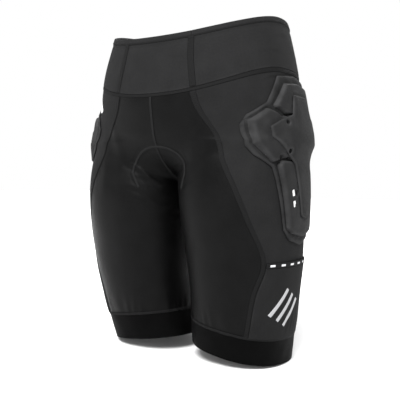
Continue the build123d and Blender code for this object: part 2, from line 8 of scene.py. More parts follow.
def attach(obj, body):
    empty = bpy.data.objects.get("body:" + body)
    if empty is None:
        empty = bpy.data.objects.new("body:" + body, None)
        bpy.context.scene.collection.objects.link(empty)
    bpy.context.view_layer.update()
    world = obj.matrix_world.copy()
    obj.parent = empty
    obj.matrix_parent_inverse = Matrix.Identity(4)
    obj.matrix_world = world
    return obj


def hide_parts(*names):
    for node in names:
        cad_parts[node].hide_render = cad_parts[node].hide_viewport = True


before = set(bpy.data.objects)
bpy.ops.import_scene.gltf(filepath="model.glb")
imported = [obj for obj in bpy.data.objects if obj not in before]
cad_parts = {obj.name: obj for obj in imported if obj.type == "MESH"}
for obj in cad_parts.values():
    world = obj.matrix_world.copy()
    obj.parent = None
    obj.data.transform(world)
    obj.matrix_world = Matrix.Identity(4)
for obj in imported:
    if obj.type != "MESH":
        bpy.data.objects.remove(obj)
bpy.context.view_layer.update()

# Padded impact shorts. Shapes are worked out in millimetres on the body that the cloth is worn on,
# front towards -Y and the wearer's left at +X, and turned to metres when a mesh is made.
# Nothing on the garment moves by itself, so every piece rides on root.
mm = 0.001
depthShift = -7.5   # from the body shape to the frame, front to back
dice = np.random.default_rng(11)
print("stage: frame loaded,", len(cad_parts), "nodes")


# --- camera, light and floor ---
view = dict(azimuth=34.5, distance=0.8855, height=0.2513, pitch=1.84, roll=1.11, lens=54.6,
            shiftX=0.013, shiftY=-0.0058)


def makeCamera():
    cameraData = bpy.data.cameras.new("viewCamera")
    cameraData.lens, cameraData.sensor_width = view["lens"], 36
    cameraData.shift_x, cameraData.shift_y = view["shiftX"], view["shiftY"]
    camera = bpy.data.objects.new("viewCamera", cameraData)
    bpy.context.scene.collection.objects.link(camera)
    turn = math.radians(view["azimuth"])
    place = Vector((math.sin(turn) * view["distance"], -math.cos(turn) * view["distance"] + depthShift * mm,
                    view["height"]))
    tilt = Matrix.Rotation(math.radians(90 - view["pitch"]), 4, "X")
    roll = Matrix.Rotation(math.radians(view["roll"]), 4, "Z")
    camera.matrix_world = Matrix.Translation(place) @ Matrix.Rotation(turn, 4, "Z") @ tilt @ roll
    bpy.context.scene.camera = camera


lights = dict(
    keySun=dict(azimuth=14, rise=50, strength=5.2, spread=26),
    rearSun=dict(azimuth=205, rise=40, strength=1.5, spread=60),
)


def makeLights():
    for name, look in lights.items():
        lamp = bpy.data.lights.new(name, "SUN")
        lamp.energy, lamp.angle = look["strength"], math.radians(look["spread"])
        turn, rise = math.radians(look["azimuth"]), math.radians(look["rise"])
        piece = bpy.data.objects.new(name, lamp)
        toLamp = Vector((math.sin(turn) * math.cos(rise), -math.cos(turn) * math.cos(rise), math.sin(rise)))
        piece.rotation_euler = toLamp.to_track_quat("Z", "Y").to_euler()
        piece.location = toLamp * 2
        bpy.context.scene.collection.objects.link(piece)
    world = bpy.data.worlds.new("studio")
    world.use_nodes = True
    ground = world.node_tree.nodes["Background"]
    ground.inputs[0].default_value, ground.inputs[1].default_value = (1, 1, 1, 1), 1.0
    bpy.context.scene.world = world
    bpy.context.scene.view_settings.view_transform = "Standard"


def makeFloor():
    bpy.ops.object.select_all(action="DESELECT")
    bpy.ops.mesh.primitive_plane_add(size=14, location=(0, 0, -0.0005))
    floor = bpy.context.object
    floor.name = "studioFloor"
    pale = bpy.data.materials.new("paleFloor")
    pale.use_nodes = True
    shader = pale.node_tree.nodes["Principled BSDF"]
    shader.inputs["Base Color"].default_value = (0.74, 0.74, 0.74, 1)
    shader.inputs["Roughness"].default_value = 0.9
    floor.data.materials.append(pale)


makeCamera()
makeLights()
makeFloor()
print("stage: camera, light and floor")


# --- the body that the cloth is worn on ---
bodyForm = dict(
    squareness=2.25, crotchHeight=246.0, hipHeight=300.0, waistSeam=396.0, rim=469.0,
    crotchCap=66.0, crotchBlend=24.0, seamStart=-15.0, seamFall=0.0042, rimStart=30.0, rimFall=0.0020,
    hemHeight=10.5, hemBand=40.0, hemAcross=-0.15, hemBack=-0.03, hemCentre=(72.5, 22.0),
)
# level, half width, reach to the front, reach to the back
pelvisChart = np.array([
    (250, 160, 91, 104), (300, 163.5, 98, 116), (348, 154, 104, 122),
    (396, 145, 107, 122), (469, 127, 96.5, 117), (508, 119, 90.5, 112),
], float)
# level, middle across, middle in depth, half width, half depth
legChart = np.array([
    (-19.68, 69.5, 26, 68.7, 68.5), (12.3, 72.5, 22, 68.7, 69.2), (59.04, 79.5, 12.5, 70, 73.5),
    (108.24, 84, 5, 72.8, 78), (150.06, 84.8, 1, 76.8, 82.5), (189.42, 83.5, -1.5, 78.5, 89.5),
    (231.24, 81.8, -3.5, 80, 93), (275, 79.5, -2.5, 79, 89.5), (310, 76, 0.5, 74, 80.5),
], float)
# level, share of the half width where a lengthwise seam lies
frontSeam = np.array([(39.4, 0.80), (98.4, 0.84), (147, 0.895), (204.2, 0.81),
                      (250, 0.715), (311, 0.55), (358, 0.45), (396, 0.42)])
backSeam = np.array([(39.4, 0.72), (147, 0.76), (250, 0.70), (311, 0.60), (396, 0.52)])
bandSeam = np.array([(352, 0.46), (432, 0.41)])


def readChart(chart, level, column):
    levels, values = chart[:, 0], chart[:, column]
    last = len(levels) - 1
    low = np.maximum(np.arange(last + 1) - 1, 0)
    high = np.minimum(np.arange(last + 1) + 1, last)
    slopes = (values[high] - values[low]) / (levels[high] - levels[low])
    level = np.clip(level, levels[0], levels[-1])
    k = np.clip(np.searchsorted(levels, level, side="right") - 1, 0, last - 1)
    span = levels[k + 1] - levels[k]
    t = (level - levels[k]) / span
    t2, t3 = t * t, t * t * t
    rise = (t3 - 2 * t2 + t) * span * slopes[k] + (t3 - t2) * span * slopes[k + 1]
    return values[k] + (3 * t2 - 2 * t3) * (values[k + 1] - values[k]) + rise


def waistDip(y, start, fall):
    # level behind, falling away in front
    return -fall * np.maximum(start - y, 0) ** 2


def levelToZ(y, level):
    f = bodyForm
    seam = waistDip(y, f["seamStart"], f["seamFall"])
    rim = waistDip(y, f["rimStart"], f["rimFall"])
    middle = level + (level - f["hipHeight"]) / (f["waistSeam"] - f["hipHeight"]) * seam
    upper = level + seam + (level - f["waistSeam"]) / (f["rim"] - f["waistSeam"]) * (rim - seam)
    return np.where(level <= f["hipHeight"], level, np.where(level <= f["waistSeam"], middle, upper))


def zToLevel(y, z):
    f = bodyForm
    seam = waistDip(y, f["seamStart"], f["seamFall"])
    rim = waistDip(y, f["rimStart"], f["rimFall"])
    level = f["hipHeight"] + (z - f["hipHeight"]) / (1 + seam / (f["waistSeam"] - f["hipHeight"]))
    stretch = 1 + (rim - seam) / (f["rim"] - f["waistSeam"])
    upper = f["waistSeam"] + (z - f["waistSeam"] - seam) / stretch
    return np.where(z < f["hipHeight"], z, np.where(level <= f["waistSeam"], level, upper))


def roundedDistance(u, v, halfU, halfV):
    power = bodyForm["squareness"]
    ratio = (np.abs(u / halfU) ** power + np.abs(v / halfV) ** power) ** (1 / power)
    safe = np.maximum(ratio, 0.3)
    return np.where(ratio < 0.3, (ratio - 1) * np.minimum(halfU, halfV), (ratio - 1) * np.hypot(u, v) / safe)


def bodyDistance(x, y, z):
    # millimetres off the outer face of the worn cloth, negative inside
    f = bodyForm
    middleX, middleY, halfX, halfY = [readChart(legChart, z, i) for i in (1, 2, 3, 4)]
    leg = roundedDistance(np.abs(x) - middleX, y - middleY, halfX, halfY)
    leg = leg + np.maximum(0, z - f["hipHeight"]) * 0.9
    bottom = f["crotchHeight"] + 1
    sunk = np.maximum(0, bottom - z) * 3
    high = np.maximum(z, bottom)
    level = zToLevel(y, high)
    reach = np.where(y < 0, readChart(pelvisChart, level, 2), readChart(pelvisChart, level, 3))
    below = np.maximum(0, f["crotchHeight"] + f["crotchCap"] - high) / f["crotchCap"]
    shrink = np.sqrt(np.maximum(1 - below**2, 0.001))
    pelvis = roundedDistance(x, y, readChart(pelvisChart, level, 1) * shrink, reach * shrink) + sunk
    overlap = np.maximum(f["crotchBlend"] - np.abs(leg - pelvis), 0) / f["crotchBlend"]
    blended = np.minimum(leg, pelvis) - overlap**2 * f["crotchBlend"] / 4
    return np.where(z < f["crotchHeight"] - 30, leg, blended)


def bodyNormal(p):
    step = 0.4
    grad = np.empty_like(p)
    for i in range(3):
        ahead, behind = p.copy(), p.copy()
        ahead[..., i] += step
        behind[..., i] -= step
        grad[..., i] = bodyDistance(*np.moveaxis(ahead, -1, 0)) - bodyDistance(*np.moveaxis(behind, -1, 0))
    grad[..., 0] = np.where(np.abs(p[..., 0]) < 0.03, 0, grad[..., 0])
    return grad / np.linalg.norm(grad, axis=-1, keepdims=True)


def firstCrossing(value, near, far, halvings=18):
    # where value turns from negative at near to positive at far
    near, far = near.copy(), far.copy()
    for _ in range(halvings):
        half = (near + far) / 2
        out = value(half) > 0
        far = np.where(out, half, far)
        near = np.where(out, near, half)
    a, b = value(near), value(far)
    return near + (far - near) * np.clip(-a / np.where(b - a == 0, 1, b - a), 0, 1)


# --- rows across the body, and grids of points on it ---
hemLegX, hemLegY = bodyForm["hemCentre"]
hemMiddle = bodyForm["hemHeight"] - bodyForm["hemAcross"] * hemLegX - bodyForm["hemBack"] * hemLegY


def hemRow(height):
    return (hemMiddle + height, bodyForm["hemAcross"], bodyForm["hemBack"])


# level, slope across, slope in depth
bodyRows = [(396, 0, 0), (348, 0, 0), (325, 0, 0), (306, 0, 0), (298, 0.02, 0), (286, 0.03, 0), (275, 0.04, 0),
            (266, 0.05, 0), (259, 0.05, 0), (254, 0.05, 0), (250.5, 0.05, 0), (248, 0.04, 0), (246.3, 0.03, 0),
            (244.6, 0.02, 0), (241, 0.02, 0), (236, 0.01, 0), (230, 0, 0), (208, 0, 0), (180, 0, 0),
            (147, 0, 0), (110, -0.03, -0.01), (80, -0.08, -0.02), hemRow(bodyForm["hemBand"])]


def rowZ(rows, x, y):
    return levelToZ(y, rows[..., 0]) + rows[..., 1] * x + rows[..., 2] * y


def surfacePoints(rows, angles):
    # where rays from inside the left leg meet the cloth, 0 degrees at the side and -90 in front
    level = rows[..., 0] + rows[..., 1] * hemLegX
    along, aside = np.cos(np.radians(angles)), np.sin(np.radians(angles))
    middleX, middleY, along, aside = np.broadcast_arrays(
        readChart(legChart, level, 1), readChart(legChart, level, 2), along, aside)
    limit = np.where(along < -1e-9, middleX / np.maximum(-along, 1e-9), 340.0)
    far = np.minimum(340.0, limit)

    def value(reach):
        x, y = middleX + along * reach, middleY + aside * reach
        return bodyDistance(x, y, rowZ(rows, x, y))

    reach = np.where(value(far) <= 0, far, firstCrossing(value, np.zeros(far.shape), far))
    x, y = middleX + along * reach, middleY + aside * reach
    return np.stack([np.where(x < 0.02, 0, x), y, rowZ(rows, x, y)], -1)


def findAngle(rows, side, keepsGoing, limit=180.0):
    near, far = np.ones(len(rows)), np.full(len(rows), limit)
    for _ in range(20):
        half = (near + far) / 2
        going = keepsGoing(surfacePoints(rows, side * half))
        near, far = np.where(going, half, near), np.where(going, far, half)
    return side * far


def seamAngle(side, chart):
    def angle(rows):
        widest = surfacePoints(rows, np.zeros(len(rows)))
        share = readChart(chart, widest[:, 2], 1)
        return findAngle(rows, side, lambda p: p[..., 0] > share * widest[:, 0], 150.0)
    return angle


def frontEnd(rows):
    return findAngle(rows, -1, lambda p: p[..., 0] > 0)


def backEnd(rows):
    return findAngle(rows, 1, lambda p: p[..., 0] > 0)


frontEdge, backEdge = seamAngle(-1, frontSeam), seamAngle(1, backSeam)
bandFrontEdge, bandBackEdge = seamAngle(-1, bandSeam), seamAngle(1, bandSeam)


def shifted(edge, width):
    return lambda rows: edge(rows) + math.degrees(width / 78.5)


edgeSteps = np.array([0, 0.5, 1.1, 2.0, 3.2])   # columns and rows crowd together along a sewn edge


def spread(length, cell, fine):
    # distances from 0 to each length, close together at both ends
    steps = edgeSteps if fine else np.zeros(1)
    widest = length.max()
    count = max(2, int(round((widest - 2 * steps[-1]) / cell)))
    head = steps * np.minimum(1, length / (2.5 * steps[-1] if fine else 1))
    inner = head[:, -1:] + (length - 2 * head[:, -1:]) * np.linspace(0, 1, count + 1)[1:-1]
    return np.concatenate([head, inner, length - head[:, ::-1]], 1)


def runLength(p, axis):
    steps = np.linalg.norm(np.diff(p, axis=axis), axis=-1)
    start = np.zeros_like(np.take(steps, [0], axis))
    return np.concatenate([start, np.cumsum(steps, axis)], axis)


def gridOn(keyRows, start, stop, cell=2.0, rowCell=None, fine=True, fan=121):
    keys = np.array(keyRows, float)
    t = np.linspace(0, len(keys) - 1, (len(keys) - 1) * 16 + 1)
    dense = np.stack([np.interp(t, np.arange(len(keys)), keys[:, i]) for i in range(3)], -1)
    first, last = start(dense), stop(dense)
    lines = [surfacePoints(dense, a) for a in (first, (first + last) / 2, last)]
    steps = np.max([np.linalg.norm(np.diff(line, axis=0), axis=1) for line in lines], axis=0)
    run = np.concatenate([[0], np.cumsum(steps)])
    at = spread(np.array([[run[-1]]]), rowCell or cell, fine)[0]
    rows = np.stack([np.interp(at, run, dense[:, i]) for i in range(3)], -1)
    first, last = start(rows), stop(rows)
    share = np.linspace(0, 1, fan)
    lengths = runLength(surfacePoints(rows[:, None, :], first[:, None] + (last - first)[:, None] * share), 1)
    across = spread(lengths[:, -1:], cell, fine)
    angles = np.stack([np.interp(across[i], lengths[i], first[i] + (last[i] - first[i]) * share)
                       for i in range(len(rows))])
    p = surfacePoints(rows[:, None, :], angles)
    return dict(p=p, n=bodyNormal(p), across=across, along=runLength(p, 0))


def otherSide(grid):
    flip = np.array([-1.0, 1, 1])
    return dict(p=grid["p"][:, ::-1] * flip, n=grid["n"][:, ::-1] * flip,
                across=(grid["across"][:, -1:] - grid["across"])[:, ::-1], along=grid["along"][:, ::-1])


def joinedAtFront(grid):
    return sideBySide(otherSide(grid), grid)


def joinedAtBack(grid):
    return sideBySide(grid, otherSide(grid))


def sideBySide(a, b):
    joined = {key: np.concatenate([a[key], b[key][:, 1:]], 1) for key in ("p", "n", "along")}
    joined["across"] = np.concatenate([a["across"], b["across"][:, 1:] + a["across"][:, -1:]], 1)
    return joined


# --- how the cloth lies: creases, folds and ripples ---
creaseLook = dict(bow=0.004, depth=22, furrow=0.6, apart=1.9, strength=0.7)
# x, y, z of the middle, direction, half length, width, height
handCreases = [
    ((-34, -84, 262), (0.86, 0.1, -0.5), 22, 3.4, 1.7),    # folds of the groin, the wearer's right
    ((-26, -74, 250), (0.9, 0.25, -0.3), 17, 3.0, 1.3),
    ((-38, -84, 236), (0.8, 0.35, -0.45), 20, 3.2, 0.9),
    ((-34, -80, 224), (0.85, 0.4, -0.3), 20, 3.0, 0.8),
    ((26, -86, 272), (-0.75, 0.15, -0.6), 16, 2.6, 0.6),   # and the wearer's left
    ((28, -84, 258), (-0.8, 0.3, -0.5), 16, 2.6, 0.6),
    ((46, -88, 236), (-0.75, 0.3, -0.55), 24, 3.4, 0.5),
    ((36, -80, 222), (-0.8, 0.5, -0.3), 20, 3.0, 0.5),
    ((62, -86, 296), (-0.35, 0.1, -0.93), 46, 8.0, 0.8),   # long soft folds down the hip fronts
    ((86, -78, 284), (-0.2, 0.05, -0.98), 50, 8.0, 0.7),
    ((-66, -84, 290), (0.3, 0.1, -0.95), 46, 8.0, 0.9),
    ((-90, -74, 276), (0.22, 0.05, -0.97), 50, 7.5, 0.7),
    ((30, 84, 228), (0.9, 0.15, 0.35), 26, 4.2, 1.5),      # under the seat
    ((-30, 84, 228), (-0.9, 0.15, 0.35), 26, 4.2, 1.4),
    ((38, 84, 214), (0.93, 0.1, 0.3), 24, 3.6, 0.9),
    ((-40, 84, 216), (-0.93, 0.1, 0.3), 24, 3.6, 1.0),
    ((14, 96, 262), (0.5, 0.1, 0.85), 22, 3.4, 0.9),
    ((-14, 96, 262), (-0.5, 0.1, 0.85), 22, 3.4, 0.8),
]


def inseamCreases():
    # short folds that fan out from the inseam under the crotch
    creases = []
    for side in (-1, 1):
        for i in range(7):
            height = 232 - i * 8.5
            front = -1 if i % 2 else 1
            start = (side * (10 + 4 * (i % 3)), front * (34 + 6 * (i % 2)), height + dice.uniform(-2, 2))
            creases.append((start, (side * 0.55, front * 0.8, 0.22 * (3 - i) / 3), 15 + dice.uniform(0, 9),
                            2.6 + dice.uniform(0, 1.4), 0.75 * (1 - 0.07 * i)))
    return creases


def bandCreases():
    # ripples of the waistband where it bends over the hip bones, and a few behind
    creases = []
    for side in (-1, 1):
        for i in range(7):
            angle = math.radians(dice.uniform(-18, 55))
            place = (side * 134 * math.cos(angle), 118 * math.sin(angle), dice.uniform(414, 450))
            creases.append((place, (-side * math.sin(angle), math.cos(angle), dice.uniform(-0.1, 0.3)),
                            dice.uniform(14, 26), dice.uniform(2.0, 3.4), dice.uniform(0.25, 0.55)))
    return creases


creaseTable = handCreases + inseamCreases() + bandCreases()
creaseMiddles = np.array([c[0] for c in creaseTable], float)


def settleCreases():
    # each middle is pulled onto the cloth along the shape's own slope
    p = creaseMiddles.copy()
    for _ in range(6):
        n = bodyNormal(p)
        p -= n * bodyDistance(p[:, 0], p[:, 1], p[:, 2])[:, None]
    n = bodyNormal(p)
    d = np.array([c[1] for c in creaseTable], float)
    d -= n * np.sum(d * n, 1, keepdims=True)
    d /= np.linalg.norm(d, axis=1, keepdims=True)
    return p, n, d, np.cross(n, d)


creaseAt, creaseUp, creaseAlong, creaseAside = settleCreases()


def smooth(t):
    t = np.clip(t, 0, 1)
    return t * t * (3 - 2 * t)


hipPad = dict(
    middleY=8.0, middleZ=277.0, backing=(0.2, 1.1), flange=(1.2, 2.9), foam=(3.0, 8.4), plate=(8.5, 10.5),
    badge=(8.5, 9.0), corner=4.0,
)
chamois = dict(
    base=(-4.4, -2.2), foam=(-9.6, -4.6), frontTop=293.0, frontHalf=45.0,
    backTop=312.0, backHalf=72.0, bottom=224.0,
)


# the arch: how far its curve reaches down, how full it is, and its width at the bottom
arch = dict(shoulder=0.8, fullness=0.92, foot=0.7)


def archLine(top, half):
    # points x, z up one side of the arched outline, over the top and down the other
    shoulder = top - arch["shoulder"] * half
    turn = np.radians(np.linspace(0, 90, 24))
    x, z = half * np.cos(turn) ** arch["fullness"], shoulder + (top - shoulder) * np.sin(turn)
    x, z = np.concatenate([[arch["foot"] * half], x]), np.concatenate([[chamois["bottom"]], z])
    return np.stack([np.concatenate([-x, x[-2::-1]]), np.concatenate([z, z[-2::-1]])], -1)


def signedDistance(points, loop):
    # distance to a closed line, positive inside it
    a, b = loop, np.roll(loop, -1, 0)
    ab = b - a
    best = np.full(len(points), 1e9)
    inside = np.zeros(len(points), bool)
    batch = 4000
    for start in range(0, len(points), batch):
        q = points[start:start + batch]
        aq = q[:, None] - a
        t = np.clip(np.sum(aq * ab, -1) / np.maximum(np.sum(ab * ab, -1), 1e-9), 0, 1)
        gap = np.linalg.norm(aq - t[..., None] * ab, axis=-1)
        best[start:start + batch] = gap.min(1)
        crosses = (a[:, 1] > q[:, 1:2]) != (b[:, 1] > q[:, 1:2])
        at = a[:, 0] + (q[:, 1:2] - a[:, 1]) * ab[:, 0] / np.where(ab[:, 1] == 0, 1e-9, ab[:, 1])
        inside[start:start + batch] = np.sum(crosses & (q[:, 0:1] < at), 1) % 2 == 1
    return np.where(inside, best, -best)


frontArch = archLine(chamois["frontTop"], chamois["frontHalf"])


def clothRelief(p):
    # how far the worn cloth stands off the smooth body, in millimetres
    shape = p.shape[:-1]
    q = p.reshape(-1, 3)
    relief = np.zeros(len(q))
    for i, crease in enumerate(creaseTable):
        length, width, height = crease[2:]
        away = q - creaseAt[i]
        along, aside, up = away @ creaseAlong[i], away @ creaseAside[i], away @ creaseUp[i]
        bend = aside + creaseLook["bow"] * along**2
        fade = np.exp(-(along / length) ** 4 - (up / creaseLook["depth"]) ** 2)
        ridge = np.exp(-(bend / width) ** 2)
        furrow = creaseLook["furrow"] * np.exp(-((bend + creaseLook["apart"] * width) / width) ** 2)
        relief += creaseLook["strength"] * height * fade * (ridge - furrow)
    # slow unevenness all over, and gathers above the hem seam
    level = q[:, 2]
    relief += 0.22 * np.sin(q[:, 0] / 13 + q[:, 2] / 41) * np.sin(q[:, 2] / 23 - q[:, 1] / 17)
    relief += 0.13 * np.sin(q[:, 1] / 7.3 + q[:, 2] / 13 + 1.1) * np.sin(q[:, 0] / 9.1 - q[:, 2] / 29)
    around = np.arctan2(q[:, 1] - 15, np.abs(q[:, 0]) - 77)
    hem = np.exp(-((level - 62) / 14) ** 2) * (level < 110)
    relief += 0.28 * hem * np.sin(around * 31 + np.sin(around * 7) * 2)
    # the pad hides what lies under it, and the cloth is drawn flat around it
    padReach = ((q[:, 1] - hipPad["middleY"]) / 88) ** 2 + ((level - hipPad["middleZ"]) / 116) ** 2
    underPad = np.where(np.abs(q[:, 0]) > 60, smooth((padReach - 0.95) / 0.45), 1)
    relief *= underPad
    # a soft tuck runs over the top of each pad
    tuck = level - (391 - ((q[:, 1] - hipPad["middleY"]) / 62) ** 2 * 16)
    nearTuck = np.where(np.abs(q[:, 0]) > 60, smooth((66 - np.abs(q[:, 1] - hipPad["middleY"])) / 22), 0)
    relief += nearTuck * (0.5 * np.exp(-((tuck - 1.6) / 1.7) ** 2) - 0.6 * np.exp(-((tuck + 1.6) / 1.5) ** 2))
    # the chamois shows through in front as a low plateau with a ridge round it
    front = smooth((-q[:, 1] - 30) / 25) * (np.abs(q[:, 0]) < 60) * (level < 320) * smooth((level - 226) / 16)
    if front.any():
        inArch = np.zeros(len(q))
        near = front > 0
        inArch[near] = signedDistance(q[near][:, [0, 2]], frontArch)
        relief += front * (0.75 * smooth((inArch + 1) / 3) * smooth(1.4 - inArch / 40)
                           - 0.35 * np.exp(-((inArch + 3.2) / 1.6) ** 2)
                            - 0.3 * np.exp(-((inArch - 5.0) / 1.8) ** 2))
    return relief.reshape(shape)


def bandRelief(p):
    # the rim's elastic pulls a line in below it
    level = zToLevel(p[..., 1], p[..., 2])
    below = bodyForm["rim"] - level
    rim = 0.55 * np.exp(-((below - 5) / 4.5) ** 2) - 0.45 * np.exp(-((below - 12.5) / 1.6) ** 2)
    body = 0.5 * np.sin(below / (bodyForm["rim"] - bodyForm["waistSeam"]) * math.pi)
    return clothRelief(p) + rim + body


# --- finishes ---
def nodeBy(tree, kind, **settings):
    node = tree.nodes.new(kind)
    for key, value in settings.items():
        if key in node.inputs:
            node.inputs[key].default_value = value
        else:
            setattr(node, key, value)
    return node


def wave(tree, vector, axis, period, profile="SIN"):
    node = nodeBy(tree, "ShaderNodeTexWave", wave_type="BANDS", bands_direction=axis, wave_profile=profile)
    node.inputs["Scale"].default_value = math.pi / (10 * period)
    tree.links.new(vector, node.inputs["Vector"])
    return node.outputs["Fac"]


def maths(tree, operation, a, b):
    node = nodeBy(tree, "ShaderNodeMath", operation=operation)
    for socket, value in zip(node.inputs, (a, b)):
        if isinstance(value, (int, float)):
            socket.default_value = value
        else:
            tree.links.new(value, socket)
    return node.outputs[0]


def remap(tree, value, low, high, toLow, toHigh):
    node = nodeBy(tree, "ShaderNodeMapRange")
    for key, number in (("From Min", low), ("From Max", high), ("To Min", toLow), ("To Max", toHigh)):
        node.inputs[key].default_value = number
    tree.links.new(value, node.inputs["Value"])
    return node.outputs["Result"]


def mixColors(tree, factor, a, b):
    node = nodeBy(tree, "ShaderNodeMix", data_type="RGBA")
    tree.links.new(factor, node.inputs[0])
    for socket, color in ((node.inputs[6], a), (node.inputs[7], b)):
        if isinstance(color, tuple):
            socket.default_value = (*color, 1)
        else:
            tree.links.new(color, socket)
    return node.outputs[2]


def noise(tree, vector, scale, detail=2.0):
    node = nodeBy(tree, "ShaderNodeTexNoise", Scale=scale, Detail=detail)
    tree.links.new(vector, node.inputs["Vector"])
    return node.outputs["Fac"]


def finishMaterial(name, rough, specular=0.07):
    material = bpy.data.materials.new(name)
    material.use_nodes = True
    tree = material.node_tree
    shader = tree.nodes["Principled BSDF"]
    shader.inputs["Roughness"].default_value = rough
    shader.inputs["Specular IOR Level"].default_value = specular
    uv = nodeBy(tree, "ShaderNodeUVMap", uv_map="cloth").outputs["UV"]
    place = nodeBy(tree, "ShaderNodeTexCoord").outputs["Object"]
    edge = nodeBy(tree, "ShaderNodeAttribute", attribute_name="edge").outputs["Fac"]
    return material, tree, shader, uv, place, edge


def bump(tree, shader, height, depth, strength=1.0):
    node = nodeBy(tree, "ShaderNodeBump", Strength=strength, Distance=depth)
    tree.links.new(height, node.inputs["Height"])
    tree.links.new(node.outputs["Normal"], shader.inputs["Normal"])


def knit(name, dark, light, wale, course, depth, rough, specular=0.07, edgeWearAndHighlight=0.25):
    # looped knit: wales run down the cloth, courses across it, with yarns of slightly different greys
    material, tree, shader, uv, place, edge = finishMaterial(name, rough, specular)
    loops = maths(tree, "MULTIPLY", wave(tree, uv, "X", wale), wave(tree, uv, "Y", course))
    yarn = noise(tree, uv, 0.35 / wale, 3.0)
    patches = noise(tree, place, 42.0, 3.0)
    mixed = maths(tree, "ADD", maths(tree, "MULTIPLY", yarn, 0.55), maths(tree, "MULTIPLY", patches, 0.45))
    tone = mixColors(tree, remap(tree, mixed, 0.36, 0.64, 0, 1), dark, light)
    # paler towards the piece's edges: partly edge wear, partly a painted highlight on the ridges along the
    # seams
    paleEdgeTone = tuple(min(1, c * 1.7) for c in light)
    wearAndHighlight = maths(tree, "MULTIPLY", remap(tree, edge, 0.4, 3.0, edgeWearAndHighlight, 0),
                 remap(tree, patches, 0.4, 0.6, 0.3, 1))
    tree.links.new(mixColors(tree, wearAndHighlight, tone, paleEdgeTone), shader.inputs["Base Color"])
    tree.links.new(remap(tree, mixed, 0.3, 0.7, rough - 0.07, rough + 0.07), shader.inputs["Roughness"])
    bump(tree, shader, maths(tree, "ADD", loops, maths(tree, "MULTIPLY", yarn, 0.5)), depth, 0.6)
    return material


def grey(value):
    return (value, value, value * 1.02)


frontKnit = knit("frontKnit", grey(0.0012), grey(0.003), 0.0007, 0.0006, 0.00012, rough=0.40, specular=0.08)
sideKnit = knit("sideKnit", grey(0.0085), grey(0.0125), 0.0008, 0.0007, 0.00014, rough=0.8)
bandKnit = knit("bandKnit", grey(0.010), grey(0.0145), 0.0009, 0.0008, 0.00015, rough=0.82)
hemKnit = knit("hemKnit", grey(0.0008), grey(0.0018), 0.0006, 0.0006, 0.0001, rough=0.6, specular=0.03)
liningKnit = knit("liningKnit", grey(0.004), grey(0.008), 0.0009, 0.0009, 0.00015, rough=0.88)
chamoisKnit = knit("chamoisKnit", grey(0.016), grey(0.025), 0.0011, 0.0011, 0.00018, rough=0.9)
backingKnit = knit("backingKnit", grey(0.004), grey(0.007), 0.0008, 0.0008, 0.0001, rough=0.85)


def ribbedElastic(name, dark, light, rib):
    material, tree, shader, uv, _, _ = finishMaterial(name, 0.75)
    ribs = wave(tree, uv, "Y", rib)
    pulled = wave(tree, uv, "X", rib * 0.6, "TRI")
    fuzz = noise(tree, uv, 900.0, 3.0)
    height = maths(tree, "ADD", ribs, maths(tree, "MULTIPLY", pulled, 0.35))
    tone = mixColors(tree, maths(tree, "MULTIPLY", maths(tree, "ADD", ribs, fuzz), 0.5), dark, light)
    tree.links.new(tone, shader.inputs["Base Color"])
    bump(tree, shader, height, 0.0003, 0.7)
    return material


elasticWeb = ribbedElastic("elasticWeb", grey(0.01), grey(0.03), 0.0022)


def seamThread(name, dark, light):
    # overlock thread: fine slanted yarns on the ridges that the mesh has
    material, tree, shader, uv, _, _ = finishMaterial(name, 0.6)
    slant = nodeBy(tree, "ShaderNodeMapping")
    slant.inputs["Rotation"].default_value = (0, 0, math.radians(24))
    tree.links.new(uv, slant.inputs["Vector"])
    yarns = wave(tree, slant.outputs["Vector"], "Y", 0.00045)
    tuft = noise(tree, uv, 700.0, 2.0)
    tone = mixColors(tree, maths(tree, "MULTIPLY", maths(tree, "ADD", yarns, tuft), 0.5), dark, light)
    tree.links.new(tone, shader.inputs["Base Color"])
    bump(tree, shader, yarns, 0.00012, 0.7)
    return material


darkThread = seamThread("darkThread", grey(0.0045), grey(0.0085))
paleThread = seamThread("paleThread", grey(0.0055), grey(0.014))


def padSkinMaterial(name, dark, light, paleEdgeTone):
    # knit face fused to moulded foam: nearly smooth, with a painted highlight that makes every edge paler, more
    # in some patches than others
    material, tree, shader, uv, place, edge = finishMaterial(name, 0.66, 0.09)
    weave = maths(tree, "MULTIPLY", wave(tree, uv, "X", 0.0006), wave(tree, uv, "Y", 0.0006))
    pits = noise(tree, place, 520.0, 2.0)
    patches = noise(tree, place, 55.0, 3.0)
    tone = mixColors(tree, remap(tree, patches, 0.35, 0.65, 0, 1), dark, light)
    # painted highlight: paler colour along every edge of the piece and round every vent
    paintedEdgeHighlight = maths(tree, "MULTIPLY", remap(tree, edge, 0.6, 4.5, 0.8, 0),
                   remap(tree, patches, 0.35, 0.6, 0.35, 1))
    tree.links.new(mixColors(tree, paintedEdgeHighlight, tone, paleEdgeTone), shader.inputs["Base Color"])
    tree.links.new(remap(tree, pits, 0.3, 0.7, 0.58, 0.74), shader.inputs["Roughness"])
    bump(tree, shader, maths(tree, "ADD", weave, maths(tree, "MULTIPLY", pits, 0.8)), 0.00009, 0.6)
    return material


# the last colour is the painted edge highlight
padSkin = padSkinMaterial("padSkin", grey(0.011), grey(0.016), grey(0.03))
flangeSkin = padSkinMaterial("flangeSkin", grey(0.0085), grey(0.0125), grey(0.022))


